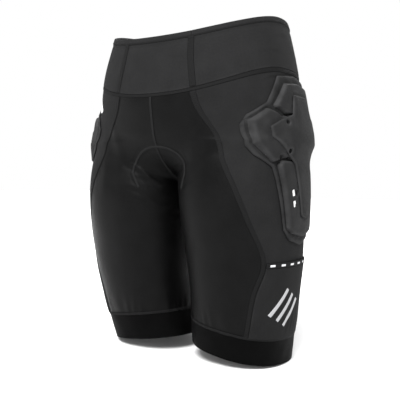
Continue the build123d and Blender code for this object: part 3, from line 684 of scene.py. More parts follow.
def filmMaterial(name, color):
    # heat-pressed reflective film: satin, with the knit showing through and fine cracks of wear
    material, tree, shader, uv, _, _ = finishMaterial(name, 0.42, 0.5)
    glass = noise(tree, uv, 2600.0, 2.0)
    scuff = remap(tree, noise(tree, uv, 160.0, 4.0), 0.58, 0.72, 0, 0.4)
    tone = mixColors(tree, glass, tuple(c * 0.82 for c in color), color)
    tree.links.new(mixColors(tree, scuff, tone, grey(0.2)), shader.inputs["Base Color"])
    bump(tree, shader, maths(tree, "ADD", glass, wave(tree, uv, "X", 0.0008)), 0.00005, 0.4)
    return material


greyFilm = filmMaterial("greyFilm", (0.36, 0.36, 0.37))
whiteFilm = filmMaterial("whiteFilm", (0.82, 0.82, 0.82))


def tapeMaterial(name):
    # black binding tape with plain light dashes along its middle
    material, tree, shader, uv, _, _ = finishMaterial(name, 0.7)
    parts = nodeBy(tree, "ShaderNodeSeparateXYZ")
    tree.links.new(uv, parts.inputs[0])
    cycle = maths(tree, "FRACT", maths(tree, "DIVIDE", parts.outputs["X"], 0.0175), 0)
    lengthwise = maths(tree, "LESS_THAN", maths(tree, "ABSOLUTE", maths(tree, "SUBTRACT", cycle, 0.5), 0), 0.21)
    middle = maths(tree, "ABSOLUTE", maths(tree, "SUBTRACT", parts.outputs["Y"], 0.0036), 0)
    dash = maths(tree, "MULTIPLY", lengthwise, maths(tree, "LESS_THAN", middle, 0.0013))
    twill = wave(tree, uv, "DIAGONAL", 0.0007)
    cloth = mixColors(tree, twill, grey(0.004), grey(0.011))
    tree.links.new(mixColors(tree, dash, cloth, grey(0.62)), shader.inputs["Base Color"])
    bump(tree, shader, twill, 0.00012, 0.6)
    return material


dashTape = tapeMaterial("dashTape")
print("stage: finishes")


# --- making a mesh ---
def addPiece(node, data, material, slot):
    # verts in millimetres on the body shape; uvs in metres, one for each corner of each face
    mesh = bpy.data.meshes.new(node)
    places = (data["verts"] + np.array([0, depthShift, 0])) * mm
    mesh.from_pydata(places.tolist(), [], data["faces"].tolist())
    layer = mesh.uv_layers.new(name="cloth")
    layer.data.foreach_set("uv", np.ascontiguousarray(data["uvs"], dtype=np.float32).ravel())
    attribute = mesh.attributes.new("edge", "FLOAT", "POINT")
    attribute.data.foreach_set("value", data["edge"].astype(np.float32))
    mesh.materials.append(material)
    mesh.polygons.foreach_set("use_smooth", np.ones(len(mesh.polygons), bool))
    mesh.update()
    piece = bpy.data.objects.new(node + "_made", mesh)
    bpy.context.scene.collection.objects.link(piece)
    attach(piece, "root")
    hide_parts(node)
    return piece


def clothData(grid, low, high, relief, wrap, rounding):
    # a closed layer of cloth between two heights off the body, with its free and sewn edges rounded
    p, n = grid["p"], grid["n"]
    across, along = grid["across"], grid["along"]
    rowCount, columnCount = p.shape[:2]
    edge = np.minimum(along, along[-1:] - along)
    if not wrap:
        edge = np.minimum(edge, np.minimum(across, across[:, -1:] - across))
        edge[:, [0, -1]] = 0
    edge[[0, -1]] = 0
    full = np.sqrt(1 - (1 - np.clip(edge / min(rounding, 0.6 * (high - low)), 0, 1)) ** 2)
    middle, half = (high + low) / 2, (high - low) / 2
    lift = relief(p)
    outer = p + n * (middle + half * full + lift)[..., None]
    inner = p + n * (middle - half * full + lift)[..., None]
    outerId = np.arange(rowCount * columnCount).reshape(rowCount, columnCount)
    free = edge > 0
    innerId = outerId.copy()
    innerId[free] = rowCount * columnCount + np.arange(free.sum())
    r, c = np.arange(rowCount - 1), np.arange(columnCount if wrap else columnCount - 1)
    rr, cc = np.meshgrid(r, c, indexing="ij")
    dd = (cc + 1) % columnCount
    out = np.stack([outerId[rr, cc], outerId[rr + 1, cc], outerId[rr + 1, dd], outerId[rr, dd]], -1)
    back = np.stack([innerId[rr, cc], innerId[rr, dd], innerId[rr + 1, dd], innerId[rr + 1, cc]], -1)
    if wrap:
        gap = np.linalg.norm(p[:, 0] - p[:, -1], axis=-1)
        across = np.concatenate([across, across[:, -1:] + gap[:, None]], 1)
        along = np.concatenate([along, along[:, :1]], 1)
    uv = np.stack([across - across[:, -1:] / 2, along[-1:].max() - along], -1) * mm
    outUv = np.stack([uv[rr, cc], uv[rr + 1, cc], uv[rr + 1, cc + 1], uv[rr, cc + 1]], -2)
    backUv = np.stack([uv[rr, cc], uv[rr, cc + 1], uv[rr + 1, cc + 1], uv[rr + 1, cc]], -2)
    return dict(verts=np.concatenate([outer.reshape(-1, 3), inner[free]]),
                faces=np.concatenate([out.reshape(-1, 4), back.reshape(-1, 4)]),
                uvs=np.concatenate([outUv.reshape(-1, 4, 2), backUv.reshape(-1, 4, 2)]),
                edge=np.concatenate([edge.ravel(), edge[free]]))


def joinedData(parts):
    starts = np.cumsum([0] + [len(part["verts"]) for part in parts])
    joined = {key: np.concatenate([part[key] for part in parts]) for key in ("verts", "uvs", "edge")}
    joined["faces"] = np.concatenate([part["faces"] + start for part, start in zip(parts, starts)])
    return joined


def clothPiece(node, grid, low, high, relief, material, slot, wrap=False, rounding=0.8):
    return addPiece(node, clothData(grid, low, high, relief, wrap, rounding), material, slot)


def clothArea(grid, wrap=False):
    p = grid["p"]
    if wrap:
        p = np.concatenate([p, p[:, :1]], 1)
    a, b = p[1:, :-1] - p[:-1, :-1], p[:-1, 1:] - p[:-1, :-1]
    return float(np.linalg.norm(np.cross(a, b), axis=-1).sum())


cutStretch = 1.1   # worn size over the size that the cloth was cut to, each way


def declareSheet(grid, wrap=False):
    # works out the area of cloth that the piece was cut from, in square metres, and keeps nothing
    area = clothArea(grid, wrap) / cutStretch**2 * mm**2


# --- body panels ---
panelLayer = dict(low=-1.6, high=0.0, cell=2.0)


def makePanels():
    layouts = [("front_panel", frontEnd, frontEdge, frontKnit, "front_knit"),
               ("side_panel", frontEdge, backEdge, sideKnit, "side_knit"),
               ("back_panel", backEdge, backEnd, frontKnit, "front_knit")]
    for name, start, stop, material, slot in layouts:
        left = gridOn(bodyRows, start, stop, panelLayer["cell"])
        for side, grid in (("left", left), ("right", otherSide(left))):
            piece = clothPiece(f"{name}_{side}", grid, panelLayer["low"], panelLayer["high"], clothRelief,
                               material, slot)
            declareSheet(grid)


makePanels()
print("stage: body panels")


# --- waistband: cloth that folds over the rim, elastic and lining inside it ---
band = dict(middle=0.2, half=0.65, foldOffset=-1.3, foldRadius=1.5, innerLeg=8.0,
            elastic=(-1.9, -0.7), lining=(-3.1, -2.1), elasticDepth=30.0)
seamLevel, rimLevel = bodyForm["waistSeam"], bodyForm["rim"]
bandRows = [(rimLevel - 1.5, 0, 0), (seamLevel, 0, 0)]


def foldedBand(grid):
    # the outer face runs up to the rim, turns over it and ends a little way down inside
    p, n = grid["p"], grid["n"]
    up = np.array([0, 0, 1.0]) - n[0] * n[0][:, 2:3]
    up /= np.linalg.norm(up, axis=1, keepdims=True)
    rows, normals = [], []
    for drop in np.linspace(band["innerLeg"], 0, 6)[:-1]:
        rows.append(p[0] + n[0] * (band["foldOffset"] - band["foldRadius"]) - up * drop)
        normals.append(-n[0])
    for turn in np.radians(np.linspace(180, 0, 9)):
        outward, rise = math.cos(turn), math.sin(turn)
        rows.append(p[0] + n[0] * (band["foldOffset"] + band["foldRadius"] * outward)
                    + up * band["foldRadius"] * rise)
        normals.append(n[0] * outward + up * rise)
    outer = p[1:] + n[1:] * band["middle"]
    path = np.concatenate([np.array(rows), outer])
    faces = np.concatenate([np.array(normals), n[1:]])
    count = len(rows)
    across = np.concatenate([np.repeat(grid["across"][:1], count, 0), grid["across"][1:]])
    return dict(p=path, n=faces, across=across, along=runLength(path, 0)), count


def makeBandPiece(node, grid):
    folded, count = foldedBand(grid)
    base = np.concatenate([np.repeat(grid["p"][:1], count, 0), grid["p"][1:]])
    outward = np.concatenate([np.repeat(grid["n"][:1], count, 0), grid["n"][1:]])

    def relief(_):
        return bandRelief(base) * np.sum(outward * folded["n"], -1)

    piece = clothPiece(node, folded, -band["half"], band["half"], relief, bandKnit, "waistband_knit")
    declareSheet(folded)


def makeWaistband():
    front = gridOn(bandRows, frontEnd, bandFrontEdge, 2.2)
    side = gridOn(bandRows, bandFrontEdge, bandBackEdge, 2.2)
    back = gridOn(bandRows, bandBackEdge, backEnd, 2.2)
    makeBandPiece("waistband_front", joinedAtFront(front))
    makeBandPiece("waistband_back", joinedAtBack(back))
    makeBandPiece("waistband_side_left", side)
    makeBandPiece("waistband_side_right", otherSide(side))


def fullRing(rows, cell, rowCell=None, fine=True):
    ring = joinedAtBack(gridOn(rows, frontEnd, backEnd, cell, rowCell, fine))
    return {key: value[:, :-1] for key, value in ring.items()}


def makeBandInsides():
    lining = fullRing([(rimLevel - band["innerLeg"] - 2.0, 0, 0), (seamLevel, 0, 0)], 2.5)
    piece = clothPiece("waistband_lining", lining, *band["lining"], bandRelief,
                       liningKnit, "lining_knit", wrap=True)
    declareSheet(lining, wrap=True)
    elastic = fullRing([(rimLevel - 2, 0, 0), (rimLevel - band["elasticDepth"], 0, 0)], 2.5)
    piece = clothPiece("waist_elastic", elastic, *band["elastic"], bandRelief, elasticWeb, "elastic", wrap=True)
    declareSheet(elastic, wrap=True)


makeWaistband()
makeBandInsides()
print("stage: waistband")


# --- leg ends ---
hem = dict(layer=(-1.6, 0.3), gripper=(-2.6, -1.8), gripperTop=22.0)


def legRing(rows, cell, rowCell=None, fine=True):
    ring = gridOn(rows, frontEnd, backEnd, cell, rowCell, fine)
    return {key: value[:, :-1] for key, value in ring.items()}


def hemRelief(p):
    # the doubled band bulges a little between its seam and its fold
    height = p[..., 2] - hemMiddle - bodyForm["hemAcross"] * np.abs(p[..., 0]) - bodyForm["hemBack"] * p[..., 1]
    around = np.arctan2(p[..., 1] - hemLegY, np.abs(p[..., 0]) - hemLegX)
    soft = 0.12 * np.sin(around * 9 + height / 6) + 0.1 * np.sin(around * 17 - height / 9)
    crown = 0.45 * np.sin(np.clip(height / bodyForm["hemBand"], 0, 1) * math.pi)
    return crown + soft - 0.35 * np.exp(-((height - 2.6) / 0.9) ** 2)


def makeHems():
    bandRing = legRing([hemRow(bodyForm["hemBand"]), hemRow(0)], 2.0, 1.4)
    gripRing = legRing([hemRow(hem["gripperTop"]), hemRow(2)], 2.0, 1.2)
    for side, turnOver in (("left", lambda g: g), ("right", otherSide)):
        grid = turnOver(bandRing)
        piece = clothPiece(f"hem_band_{side}", grid, *hem["layer"], hemRelief, hemKnit, "hem_knit", wrap=True)
        declareSheet(grid, wrap=True)
        grid = turnOver(gripRing)
        piece = clothPiece(f"hem_gripper_{side}", grid, *hem["gripper"], hemRelief,
                           elasticWeb, "elastic", wrap=True)
        declareSheet(grid, wrap=True)


makeHems()
print("stage: hem bands")


# --- thigh pockets ---
pocket = dict(layer=(0.25, 1.4), mouth=146.0, tapeDepth=7.0, tapeLayer=(0.3, 1.75))


def pocketRelief(p):
    # the mouth stands off a little in its middle, and the layer dips towards its seams
    lift = np.exp(-((p[..., 2] - pocket["mouth"]) / 12) ** 2)
    middle = smooth(1 - np.abs(p[..., 1] - 2) / 62)
    return clothRelief(p) + 1.1 * lift * middle + 0.25 * np.sin(p[..., 2] / 11 + p[..., 1] / 19)


def makePockets():
    start, stop = shifted(frontEdge, 3.6), shifted(backEdge, -3.6)
    rows = [(pocket["mouth"] - pocket["tapeDepth"], 0, 0), *bodyRows[-3:]]
    panel = gridOn(rows, start, stop, 2.0)
    tape = gridOn([(pocket["mouth"], 0, 0), rows[0]], start, stop, 1.6, 0.7)
    for side, turnOver in (("left", lambda g: g), ("right", otherSide)):
        tapePiece = clothPiece(f"pocket_tape_{side}", turnOver(tape), *pocket["tapeLayer"], pocketRelief,
                               dashTape, "tape")
        piece = clothPiece(f"pocket_panel_{side}", turnOver(panel), *pocket["layer"], pocketRelief,
                           sideKnit, "side_knit")
        declareSheet(turnOver(panel))


makePockets()
print("stage: pockets")


# --- stitching: flat bands of overlock thread with a ladder of ridges ---
stitch = dict(low=0.1, high=0.6, halfWidth=3.0, ladder=2.4, cell=0.72)


def ladderRelief(base, grid, axis, height=0.16):
    run = grid[axis]
    other = grid["across" if axis == "along" else "along"]
    total = other[:, -1:] if axis == "along" else other[-1:]
    share = other / np.maximum(total, 1e-6)
    rungs = np.cos(run * 2 * math.pi / stitch["ladder"]) * smooth((0.5 - np.abs(share - 0.5)) * 9)
    needles = np.exp(-((np.abs(share - 0.5) - 0.3) / 0.06) ** 2)
    return base + height * rungs - 0.14 * needles


def stitchPiece(node, grid, axis, relief, material, low=stitch["low"], high=stitch["high"], wrap=False):
    return clothPiece(node, grid, low, high, lambda p: ladderRelief(relief(p), grid, axis), material, "thread",
                      wrap=wrap, rounding=0.35)


def makeLongSeams():
    half, cell = stitch["halfWidth"], stitch["cell"]
    rows = [(seamLevel - 6.3, 0, 0)] + bodyRows[1:]
    for node, edge in (("front_seam_stitching", frontEdge), ("back_seam_stitching", backEdge)):
        grid = gridOn(rows, shifted(edge, -half), shifted(edge, half), cell, fine=False, fan=13)
        stitchPiece(f"{node}_left", grid, "along", clothRelief, darkThread)
        stitchPiece(f"{node}_right", otherSide(grid), "along", clothRelief, darkThread)
    centreRows = rows[:12]

    def besideCentre(side):
        return lambda r: findAngle(r, side, lambda p: p[..., 0] > 1.9)

    front = gridOn(centreRows, frontEnd, besideCentre(-1), 0.65, stitch["cell"], fine=False, fan=9)
    back = gridOn(centreRows, besideCentre(1), backEnd, 0.65, stitch["cell"], fine=False, fan=9)
    stitchPiece("centre_front_stitching", joinedAtFront(front), "along", clothRelief, paleThread)
    stitchPiece("centre_back_stitching", joinedAtBack(back), "along", clothRelief, paleThread)


def makeRingSeams():
    waist = fullRing([(seamLevel - 0.2, 0, 0), (seamLevel - 6.0, 0, 0)], stitch["cell"], 0.7, fine=False)
    stitchPiece("waist_seam_stitching", waist, "across", clothRelief, darkThread, wrap=True)
    rim = fullRing([(rimLevel - 6.2, 0, 0), (rimLevel - 8.8, 0, 0)], stitch["cell"], 0.5, fine=False)
    stitchPiece("rim_stitching", rim, "across", bandRelief, darkThread, 0.85, 1.2, wrap=True)
    hemSeam = legRing([hemRow(41.3), hemRow(37.3)], stitch["cell"], 0.6, fine=False)
    stitchPiece("hem_stitching_left", hemSeam, "across", clothRelief, darkThread, 0.35, 0.8, wrap=True)
    stitchPiece("hem_stitching_right", otherSide(hemSeam), "across", clothRelief,
                darkThread, 0.35, 0.8, wrap=True)


def makeBandSeams():
    half = stitch["halfWidth"]
    parts = []
    for edge in (bandFrontEdge, bandBackEdge):
        left = gridOn([(rimLevel - 7.5, 0, 0), (seamLevel + 1, 0, 0)],
                      shifted(edge, -half), shifted(edge, half), stitch["cell"], fine=False, fan=9)
        for grid in (left, otherSide(left)):
            parts.append(clothData(grid, 0.95, 1.45, lambda p: ladderRelief(bandRelief(p), grid, "along"),
                                   False, 0.35))
    addPiece("band_seam_stitching", joinedData(parts), darkThread, "thread")


def makeArchStitching():
    # a narrow welt along the arch of the front chamois, seen through as a pale line
    top, half = chamois["frontTop"] - 0.8, chamois["frontHalf"] - 0.8
    line = archLine(top, half)
    run = np.concatenate([[0], np.cumsum(np.linalg.norm(np.diff(line, axis=0), axis=1))])
    at = np.arange(14, run[-1] - 14, 0.7)
    spine = np.stack([np.interp(at, run, line[:, i]) for i in range(2)], -1)
    slope = np.gradient(spine, axis=0)
    slope /= np.linalg.norm(slope, axis=1, keepdims=True)
    aside = np.stack([slope[:, 1], -slope[:, 0]], -1)
    widths = np.linspace(-1.6, 1.6, 7)
    flat = spine[:, None] + aside[:, None] * widths[None, :, None]
    x, z = flat[..., 0], flat[..., 1]
    y = firstCrossing(lambda reach: bodyDistance(x, -reach, z), np.full(x.shape, 30.0), np.full(x.shape, 150.0))
    p = np.stack([x, -y, z], -1)
    # rows run along the line here and columns across it, from the body's left to its right
    p = p[:, ::-1]
    grid = dict(p=p, n=bodyNormal(p), across=runLength(p, 1), along=runLength(p, 0))
    facing = np.cross(p[1, 0] - p[0, 0], p[0, 1] - p[0, 0])
    if facing @ grid["n"][0, 0] < 0:
        grid = {key: value[:, ::-1] for key, value in grid.items()}
        grid["across"] = grid["across"][:, :1] - grid["across"]
    stitchPiece("chamois_stitching", grid, "along", clothRelief, paleThread, 0.15, 0.65)


makeLongSeams()
makeRingSeams()
makeBandSeams()
makeArchStitching()
print("stage: stitching")


# --- hip pads: outlines are (depth, height) from the pad's middle; symmetric ones give the rear half ---
flangeHalf = [(0, 111), (39, 107), (58, 72), (79, 55), (84, 42), (84, 16), (78, 4), (60, -10),
              (41, -90), (30, -103),
              (0, -111)]
backingHalf = [(0, 105), (35, 101), (53, 67), (74, 50), (78, 40), (78, 18), (73, 9), (55, -13), (36, -87),
               (27, -97), (0, -105)]
upperLobeHalf = [(0, 101), (31, 98), (53, 67), (45, 58), (0, 58)]
centreBlockHalf = [(0, 57), (33, 57), (33, 0), (0, 0)]
lowerLobeHalf = [(0, -1), (47, -1), (54, -7), (37, -88), (28, -94), (0, -100)]
rearWing = [(34, 55), (46, 57), (61, 64), (79.5, 48), (79.5, 19), (61, -4), (46, 1), (34, 3)]
plateHalf = [(0, 84), (21, 84), (29, 58), (50, 50), (64, 41), (64, 27), (50, 16), (26, -6), (12, -72), (0, -76)]
ventPlaces, ventRadius = [(41, 47), (38, 11), (22, -42)], 2.9
slotVent = dict(place=(46, 59.5), length=14.0, turn=38.0, radius=3.4)
largeVent = dict(place=(48.5, 1.5), radius=3.5)


def bothSides(half):
    return half + [(-y, z) for y, z in reversed(half) if y > 0]


def frontSide(half):
    return [(-y, z) for y, z in reversed(half)]


def anticlockwise(loop):
    a, b = loop, np.roll(loop, -1, 0)
    return loop if np.sum(a[:, 0] * b[:, 1] - b[:, 0] * a[:, 1]) > 0 else loop[::-1]


def roundedLoop(outline, corner, step=1.3):
    # the outline with each corner turned into an arc, as evenly spaced points
    corners = anticlockwise(np.array(outline, float))
    points = []
    for before, at, after in zip(np.roll(corners, 1, 0), corners, np.roll(corners, -1, 0)):
        arrive, leave = at - before, after - at
        reach = min(np.linalg.norm(arrive), np.linalg.norm(leave)) * 0.48
        arrive, leave = arrive / np.linalg.norm(arrive), leave / np.linalg.norm(leave)
        turn = math.acos(np.clip(arrive @ leave, -1, 1))
        if turn < 0.02:
            points.append(at)
            continue
        cut = min(corner * math.tan(turn / 2), reach)
        for t in np.linspace(0, 1, 9):
            points.append((1 - t) ** 2 * (at - arrive * cut) + 2 * t * (1 - t) * at + t**2 * (at + leave * cut))
    closed = np.array(points + [points[0]])
    run = np.concatenate([[0], np.cumsum(np.linalg.norm(np.diff(closed, axis=0), axis=1))])
    at = np.linspace(0, run[-1], int(run[-1] / step) + 1)[:-1]
    return np.stack([np.interp(at, run, closed[:, i]) for i in range(2)], -1)


def ringLoop(place, radius, count=18):
    turn = np.linspace(0, 2 * math.pi, count, endpoint=False)
    return np.array(place) + radius * np.stack([np.cos(turn), np.sin(turn)], -1)


def slotLoop(end):
    reach, radius = slotVent["length"] / 2 - slotVent["radius"], slotVent["radius"]
    turn = np.linspace(-math.pi / 2, math.pi / 2, 9)
    cap = np.stack([reach + radius * np.cos(turn), radius * np.sin(turn)], -1)
    loop = np.concatenate([cap, -cap])
    a = math.radians(end * slotVent["turn"])
    spin = np.array([[math.cos(a), math.sin(a)], [-math.sin(a), math.cos(a)]])
    return loop @ spin + np.array([end * slotVent["place"][0], slotVent["place"][1]])


def ventLoops():
    loops = [ringLoop((end * y, z), ventRadius) for y, z in ventPlaces for end in (-1, 1)]
    loops += [ringLoop((end * largeVent["place"][0], largeVent["place"][1]), largeVent["radius"])
              for end in (-1, 1)]
    return loops + [slotLoop(end) for end in (-1, 1)]


def inwardRing(loop, reach):
    tangent = np.roll(loop, -1, 0) - np.roll(loop, 1, 0)
    tangent /= np.linalg.norm(tangent, axis=1, keepdims=True)
    return loop + np.stack([-tangent[:, 1], tangent[:, 0]], -1) * reach


ringReaches = (0.35, 0.8, 1.4, 2.2, 3.2)


def flatMesh(outline, holes, cell=2.4):
    # triangles that fill an outline round its holes, dense along every edge
    cut = [hole for hole in holes if signedDistance(hole, outline).max() > 0]
    loops = [outline] + cut
    points = []

    def gapFromAll(q):
        gap = signedDistance(q, outline)
        for hole in cut:
            gap = np.minimum(gap, -signedDistance(q, hole))
        return gap

    for reach in ringReaches:
        for loop, away in [(outline, reach)] + [(hole, -reach) for hole in cut]:
            ring = inwardRing(anticlockwise(loop), away)
            points.append(ring[np.abs(gapFromAll(ring) - reach) < 0.12])
    low, high = outline.min(0), outline.max(0)
    u, v = np.meshgrid(np.arange(low[0], high[0], cell), np.arange(low[1], high[1], cell * 0.87))
    u[1::2] += cell / 2
    filling = np.stack([u.ravel(), v.ravel()], -1)
    points.append(filling[gapFromAll(filling) > ringReaches[-1] + 0.8])
    edges, start = [], 0
    for loop in loops:
        count = len(loop)
        edges += [(start + i, start + (i + 1) % count) for i in range(count)]
        start += count
    every = np.concatenate(loops + points)
    verts, _, triangles, _, _, _ = delaunay_2d_cdt([Vector(q) for q in every], edges, [], 0, 1e-4)
    verts = np.array([tuple(q) for q in verts])
    triangles = np.array([t for t in triangles])
    middles = verts[triangles].mean(1)
    inside = signedDistance(middles, outline) > 0
    for hole in cut:
        inside &= signedDistance(middles, hole) < 0
    triangles = triangles[inside]
    a, b, c = (verts[triangles[:, i]] for i in range(3))
    turned = np.cross(b - a, c - a) < 0
    triangles[turned] = triangles[turned][:, ::-1]
    used, triangles = np.unique(triangles, return_inverse=True)
    verts, triangles = verts[used], triangles.reshape(-1, 3)
    return verts, triangles, gapFromAll(verts)


def boundaryEdges(triangles):
    edges = np.concatenate([triangles[:, [0, 1]], triangles[:, [1, 2]], triangles[:, [2, 0]]])
    keys = np.sort(edges, axis=1)
    _, index, counts = np.unique(keys, axis=0, return_inverse=True, return_counts=True)
    return edges[counts[index.ravel()] == 1]


def onHip(flat, height):
    # the point over (depth, height) at a distance off the body, on the left side
    y, z = flat[:, 0] + hipPad["middleY"], flat[:, 1] + hipPad["middleZ"]
    x = firstCrossing(lambda reach: bodyDistance(reach, y, z) - height,
                      np.full(len(y), 40.0), np.full(len(y), 240.0))
    return np.stack([x, y, z], -1)


def closedShell(flat, triangles, top, under, edge):
    # two copies of the same triangles, back to back, with a wall round their rims
    rim, count = boundaryEdges(triangles), len(flat)
    faces = np.concatenate([triangles, triangles[:, ::-1] + count,
                            np.stack([rim[:, 1], rim[:, 0], rim[:, 0] + count], -1),
                            np.stack([rim[:, 1], rim[:, 0] + count, rim[:, 1] + count], -1)])
    plan = np.concatenate([flat, flat]) * mm
    return dict(verts=np.concatenate([top, under]), faces=faces, uvs=plan[faces], edge=edge)


def moulded(outline, holes, bottom, profile):
    # a closed moulded shape: its top follows a profile of the distance from its edges
    flat, triangles, gap = flatMesh(outline, holes)
    top = onHip(flat, profile(flat, gap))
    under = onHip(flat, np.full(len(flat), bottom))
    # the plan looks from outside with depth to the right, so anticlockwise faces point outwards at +X
    return closedShell(flat, triangles, top, under, np.concatenate([gap, gap * 0]))


def mirrored(data):
    return dict(verts=data["verts"] * np.array([-1, 1, 1]), faces=data["faces"][:, ::-1],
                uvs=data["uvs"][:, ::-1] * np.array([-1, 1]), edge=data["edge"])


def pillow(gap, reach, power=2.2):
    # 0 at the edge, rounding up to 1 at reach
    t = np.clip(gap / reach, 0, 1)
    return (1 - (1 - t) ** power) ** (1 / power)


def makeHipPads():
    corner = hipPad["corner"]
    lobes = dict(
        hip_pad_upper_lobe=roundedLoop(bothSides(upperLobeHalf), corner),
        hip_pad_centre_block=roundedLoop(bothSides(centreBlockHalf), 1.2),
        hip_pad_lower_lobe=roundedLoop(bothSides(lowerLobeHalf), corner),
        hip_pad_front_wing=roundedLoop(frontSide(rearWing), 2.0),
        hip_pad_rear_wing=roundedLoop(rearWing, 2.0),
    )
    flange = roundedLoop(bothSides(flangeHalf), 3.6)
    backing = roundedLoop(bothSides(backingHalf), 3.6)
    plate = roundedLoop(bothSides(plateHalf), 3.4)
    foamLow, foamHigh = hipPad["foam"]
    shapes = {}

    def flangeTop(flat, gap):
        # a rounded welt round the outside and a pressed groove along the foot of the foam
        low, high = hipPad["flange"]
        foot = np.full(len(flat), -1e9)
        for loop in lobes.values():
            foot = np.maximum(foot, signedDistance(flat, loop))
        groove = np.exp(-((foot + 1.0) / 0.9) ** 2)
        crown = 0.45 * np.sin(np.clip(gap / 7.5, 0, 1) * math.pi)
        return low + 0.25 + (high - low - 0.25) * pillow(gap, 1.9) + crown - 1.25 * groove

    def backingTop(flat, gap):
        low, high = hipPad["backing"]
        return low + 0.1 + (high - low - 0.1) * pillow(gap, 0.8)

    def lobeTop(flat, gap):
        underPlate = smooth((signedDistance(flat, plate) + 0.2) / 1.2)
        swell = 0.55 * smooth(gap / 16) * (1 - underPlate)
        outerFall = 0.55 * smooth((np.hypot(flat[:, 0] / 84, (flat[:, 1] - 5) / 108) - 0.55) / 0.45)
        moat = 1.3 * np.exp(-((signedDistance(flat, plate) + 1.1) / 0.9) ** 2)
        rise = (foamHigh - foamLow - 0.2 - outerFall) * pillow(gap, 2.1, 1.6)
        return foamLow + 0.2 + rise + swell - moat - 0.15

    def plateTop(flat, gap):
        # a stepped plate: a bevelled edge, a shoulder, and a raised spine down its middle
        low, high = hipPad["plate"]
        spine = 0.5 * smooth((gap - 4.2) / 1.4)
        line = 0.35 * np.exp(-((gap - 3.4) / 0.5) ** 2)
        return low + 0.1 + (high - low - 0.6) * pillow(gap, 1.3, 1.5) + spine - line

    shapes["hip_pad_backing"] = (backing, [], hipPad["backing"][0], backingTop, backingKnit, "pad_backing")
    shapes["hip_pad_flange"] = (flange, [], hipPad["flange"][0], flangeTop, flangeSkin, "pad_skin")
    for node, loop in lobes.items():
        shapes[node] = (loop, ventLoops(), foamLow, lobeTop, padSkin, "pad_skin")
    shapes["hip_pad_centre_plate"] = (plate, ventLoops(), hipPad["plate"][0], plateTop, padSkin, "pad_skin")
    for node, (loop, holes, bottom, profile, material, slot) in shapes.items():
        left = moulded(loop, holes, bottom, profile)
        for side, data in (("left", left), ("right", mirrored(left))):
            piece = addPiece(f"{node}_{side}", data, material, slot)


def barLoop(place, width, height, turn, corner=0.8):
    a = math.radians(turn)
    spin = np.array([[math.cos(a), math.sin(a)], [-math.sin(a), math.cos(a)]])
    half = np.array([(-width, -height), (width, -height), (width, height), (-width, height)]) / 2
    return roundedLoop((half @ spin + np.array(place)).tolist(), corner, 0.9)


# places are (depth, height): badge bars from the pad's middle, the others on the body
prints = dict(
    badge=dict(places=[(-35, -28), (-32.5, -42), (-30, -56)], size=(5.2, 8.4), turn=12),
    thigh=dict(places=[(-22, 92), (-8, 84), (6, 76)], size=(6.0, 42.0), turn=-35),
    hip=dict(places=[(-70, 356)], size=(8.0, 26.0), turn=-25, corner=3.6),
)


def printLoops(look, fromPad=False):
    shift = (0, 0) if fromPad else (hipPad["middleY"], hipPad["middleZ"])
    return [barLoop((y - shift[0], z - shift[1]), *look["size"], look["turn"], look.get("corner", 0.8))
            for y, z in look["places"]]


def filmBar(outline, low, side, relief):
    # a bar of film that follows the relief of the cloth under it
    flat, _, gap = flatMesh(outline, [])
    place = onHip(flat, 0 * gap) * np.array([side, 1, 1])
    film = moulded(outline, [], low, lambda f, g: low + 0.3 * pillow(g, 0.5))
    data = film if side > 0 else mirrored(film)
    move = bodyNormal(place) * relief(place)[:, None]
    data["verts"] = data["verts"] + np.concatenate([move, move])
    return data


def makePrints():
    # plain slanted bars in place of marks: three on each pad, three on each pocket, one dash on the right hip
    low = hipPad["badge"][0] - 0.35
    badge = joinedData([moulded(loop, [], low, lambda flat, gap: low + 0.5 * pillow(gap, 0.5))
                        for loop in printLoops(prints["badge"], fromPad=True)])
    addPiece("hip_pad_badge_left", badge, whiteFilm, "reflective")
    addPiece("hip_pad_badge_right", mirrored(badge), whiteFilm, "reflective")
    onPocket = pocket["layer"][1] + 0.1
    for sideName, side in (("left", 1), ("right", -1)):
        bars = [filmBar(loop, onPocket, side, pocketRelief) for loop in printLoops(prints["thigh"])]
        addPiece(f"thigh_print_{sideName}", joinedData(bars), greyFilm, "reflective")
    dash = filmBar(printLoops(prints["hip"])[0], 0.25, -1, clothRelief)
    addPiece("hip_print_right", dash, whiteFilm, "reflective")


makeHipPads()
makePrints()
print("stage: hip pads and prints")


# --- chamois inside the crotch, its foam swollen by a short cloth simulation ---
foamPad = dict(voxel=0.002, pressure=4.0, frames=20, cap=0.0022, channel=1.3)
chamoisRows = bodyRows[5:13]


def archReach(z, top, half):
    shoulder = top - arch["shoulder"] * half
    up = np.clip((z - shoulder) / (top - shoulder), 0, 1)
    curved = half * np.sqrt(1 - up**2) ** arch["fullness"]
    down = np.clip((shoulder - z) / (shoulder - chamois["bottom"]), 0, 1)
    straight = half * (1 - (1 - arch["foot"]) * down)
    return np.where(z > shoulder, curved, straight)


def archEdge(side, top, half):
    return lambda rows: findAngle(rows, side, lambda p: p[..., 0] > archReach(p[..., 2], top, half))


def chamoisRelief(p):
    # quilted channels pressed across the base
    return 0.35 * np.sin(p[..., 2] / 3.4) ** 2 - 0.2


def makeChamoisBases():
    top, half = chamois["frontTop"], chamois["frontHalf"]
    rows = [(top - 0.5, 0, 0)] + chamoisRows
    front = joinedAtFront(gridOn(rows, frontEnd, archEdge(-1, top, half), 1.8))
    top, half = chamois["backTop"], chamois["backHalf"]
    rows = [(top - 0.5, 0, 0), (300, 0, 0)] + chamoisRows
    back = joinedAtBack(gridOn(rows, archEdge(1, top, half), backEnd, 1.8))
    for node, grid in (("chamois_front_base", front), ("chamois_back_base", back)):
        piece = clothPiece(node, grid, *chamois["base"], lambda p: clothRelief(p) * 0.6 + chamoisRelief(p),
                           chamoisKnit, "chamois_knit")
        declareSheet(grid)


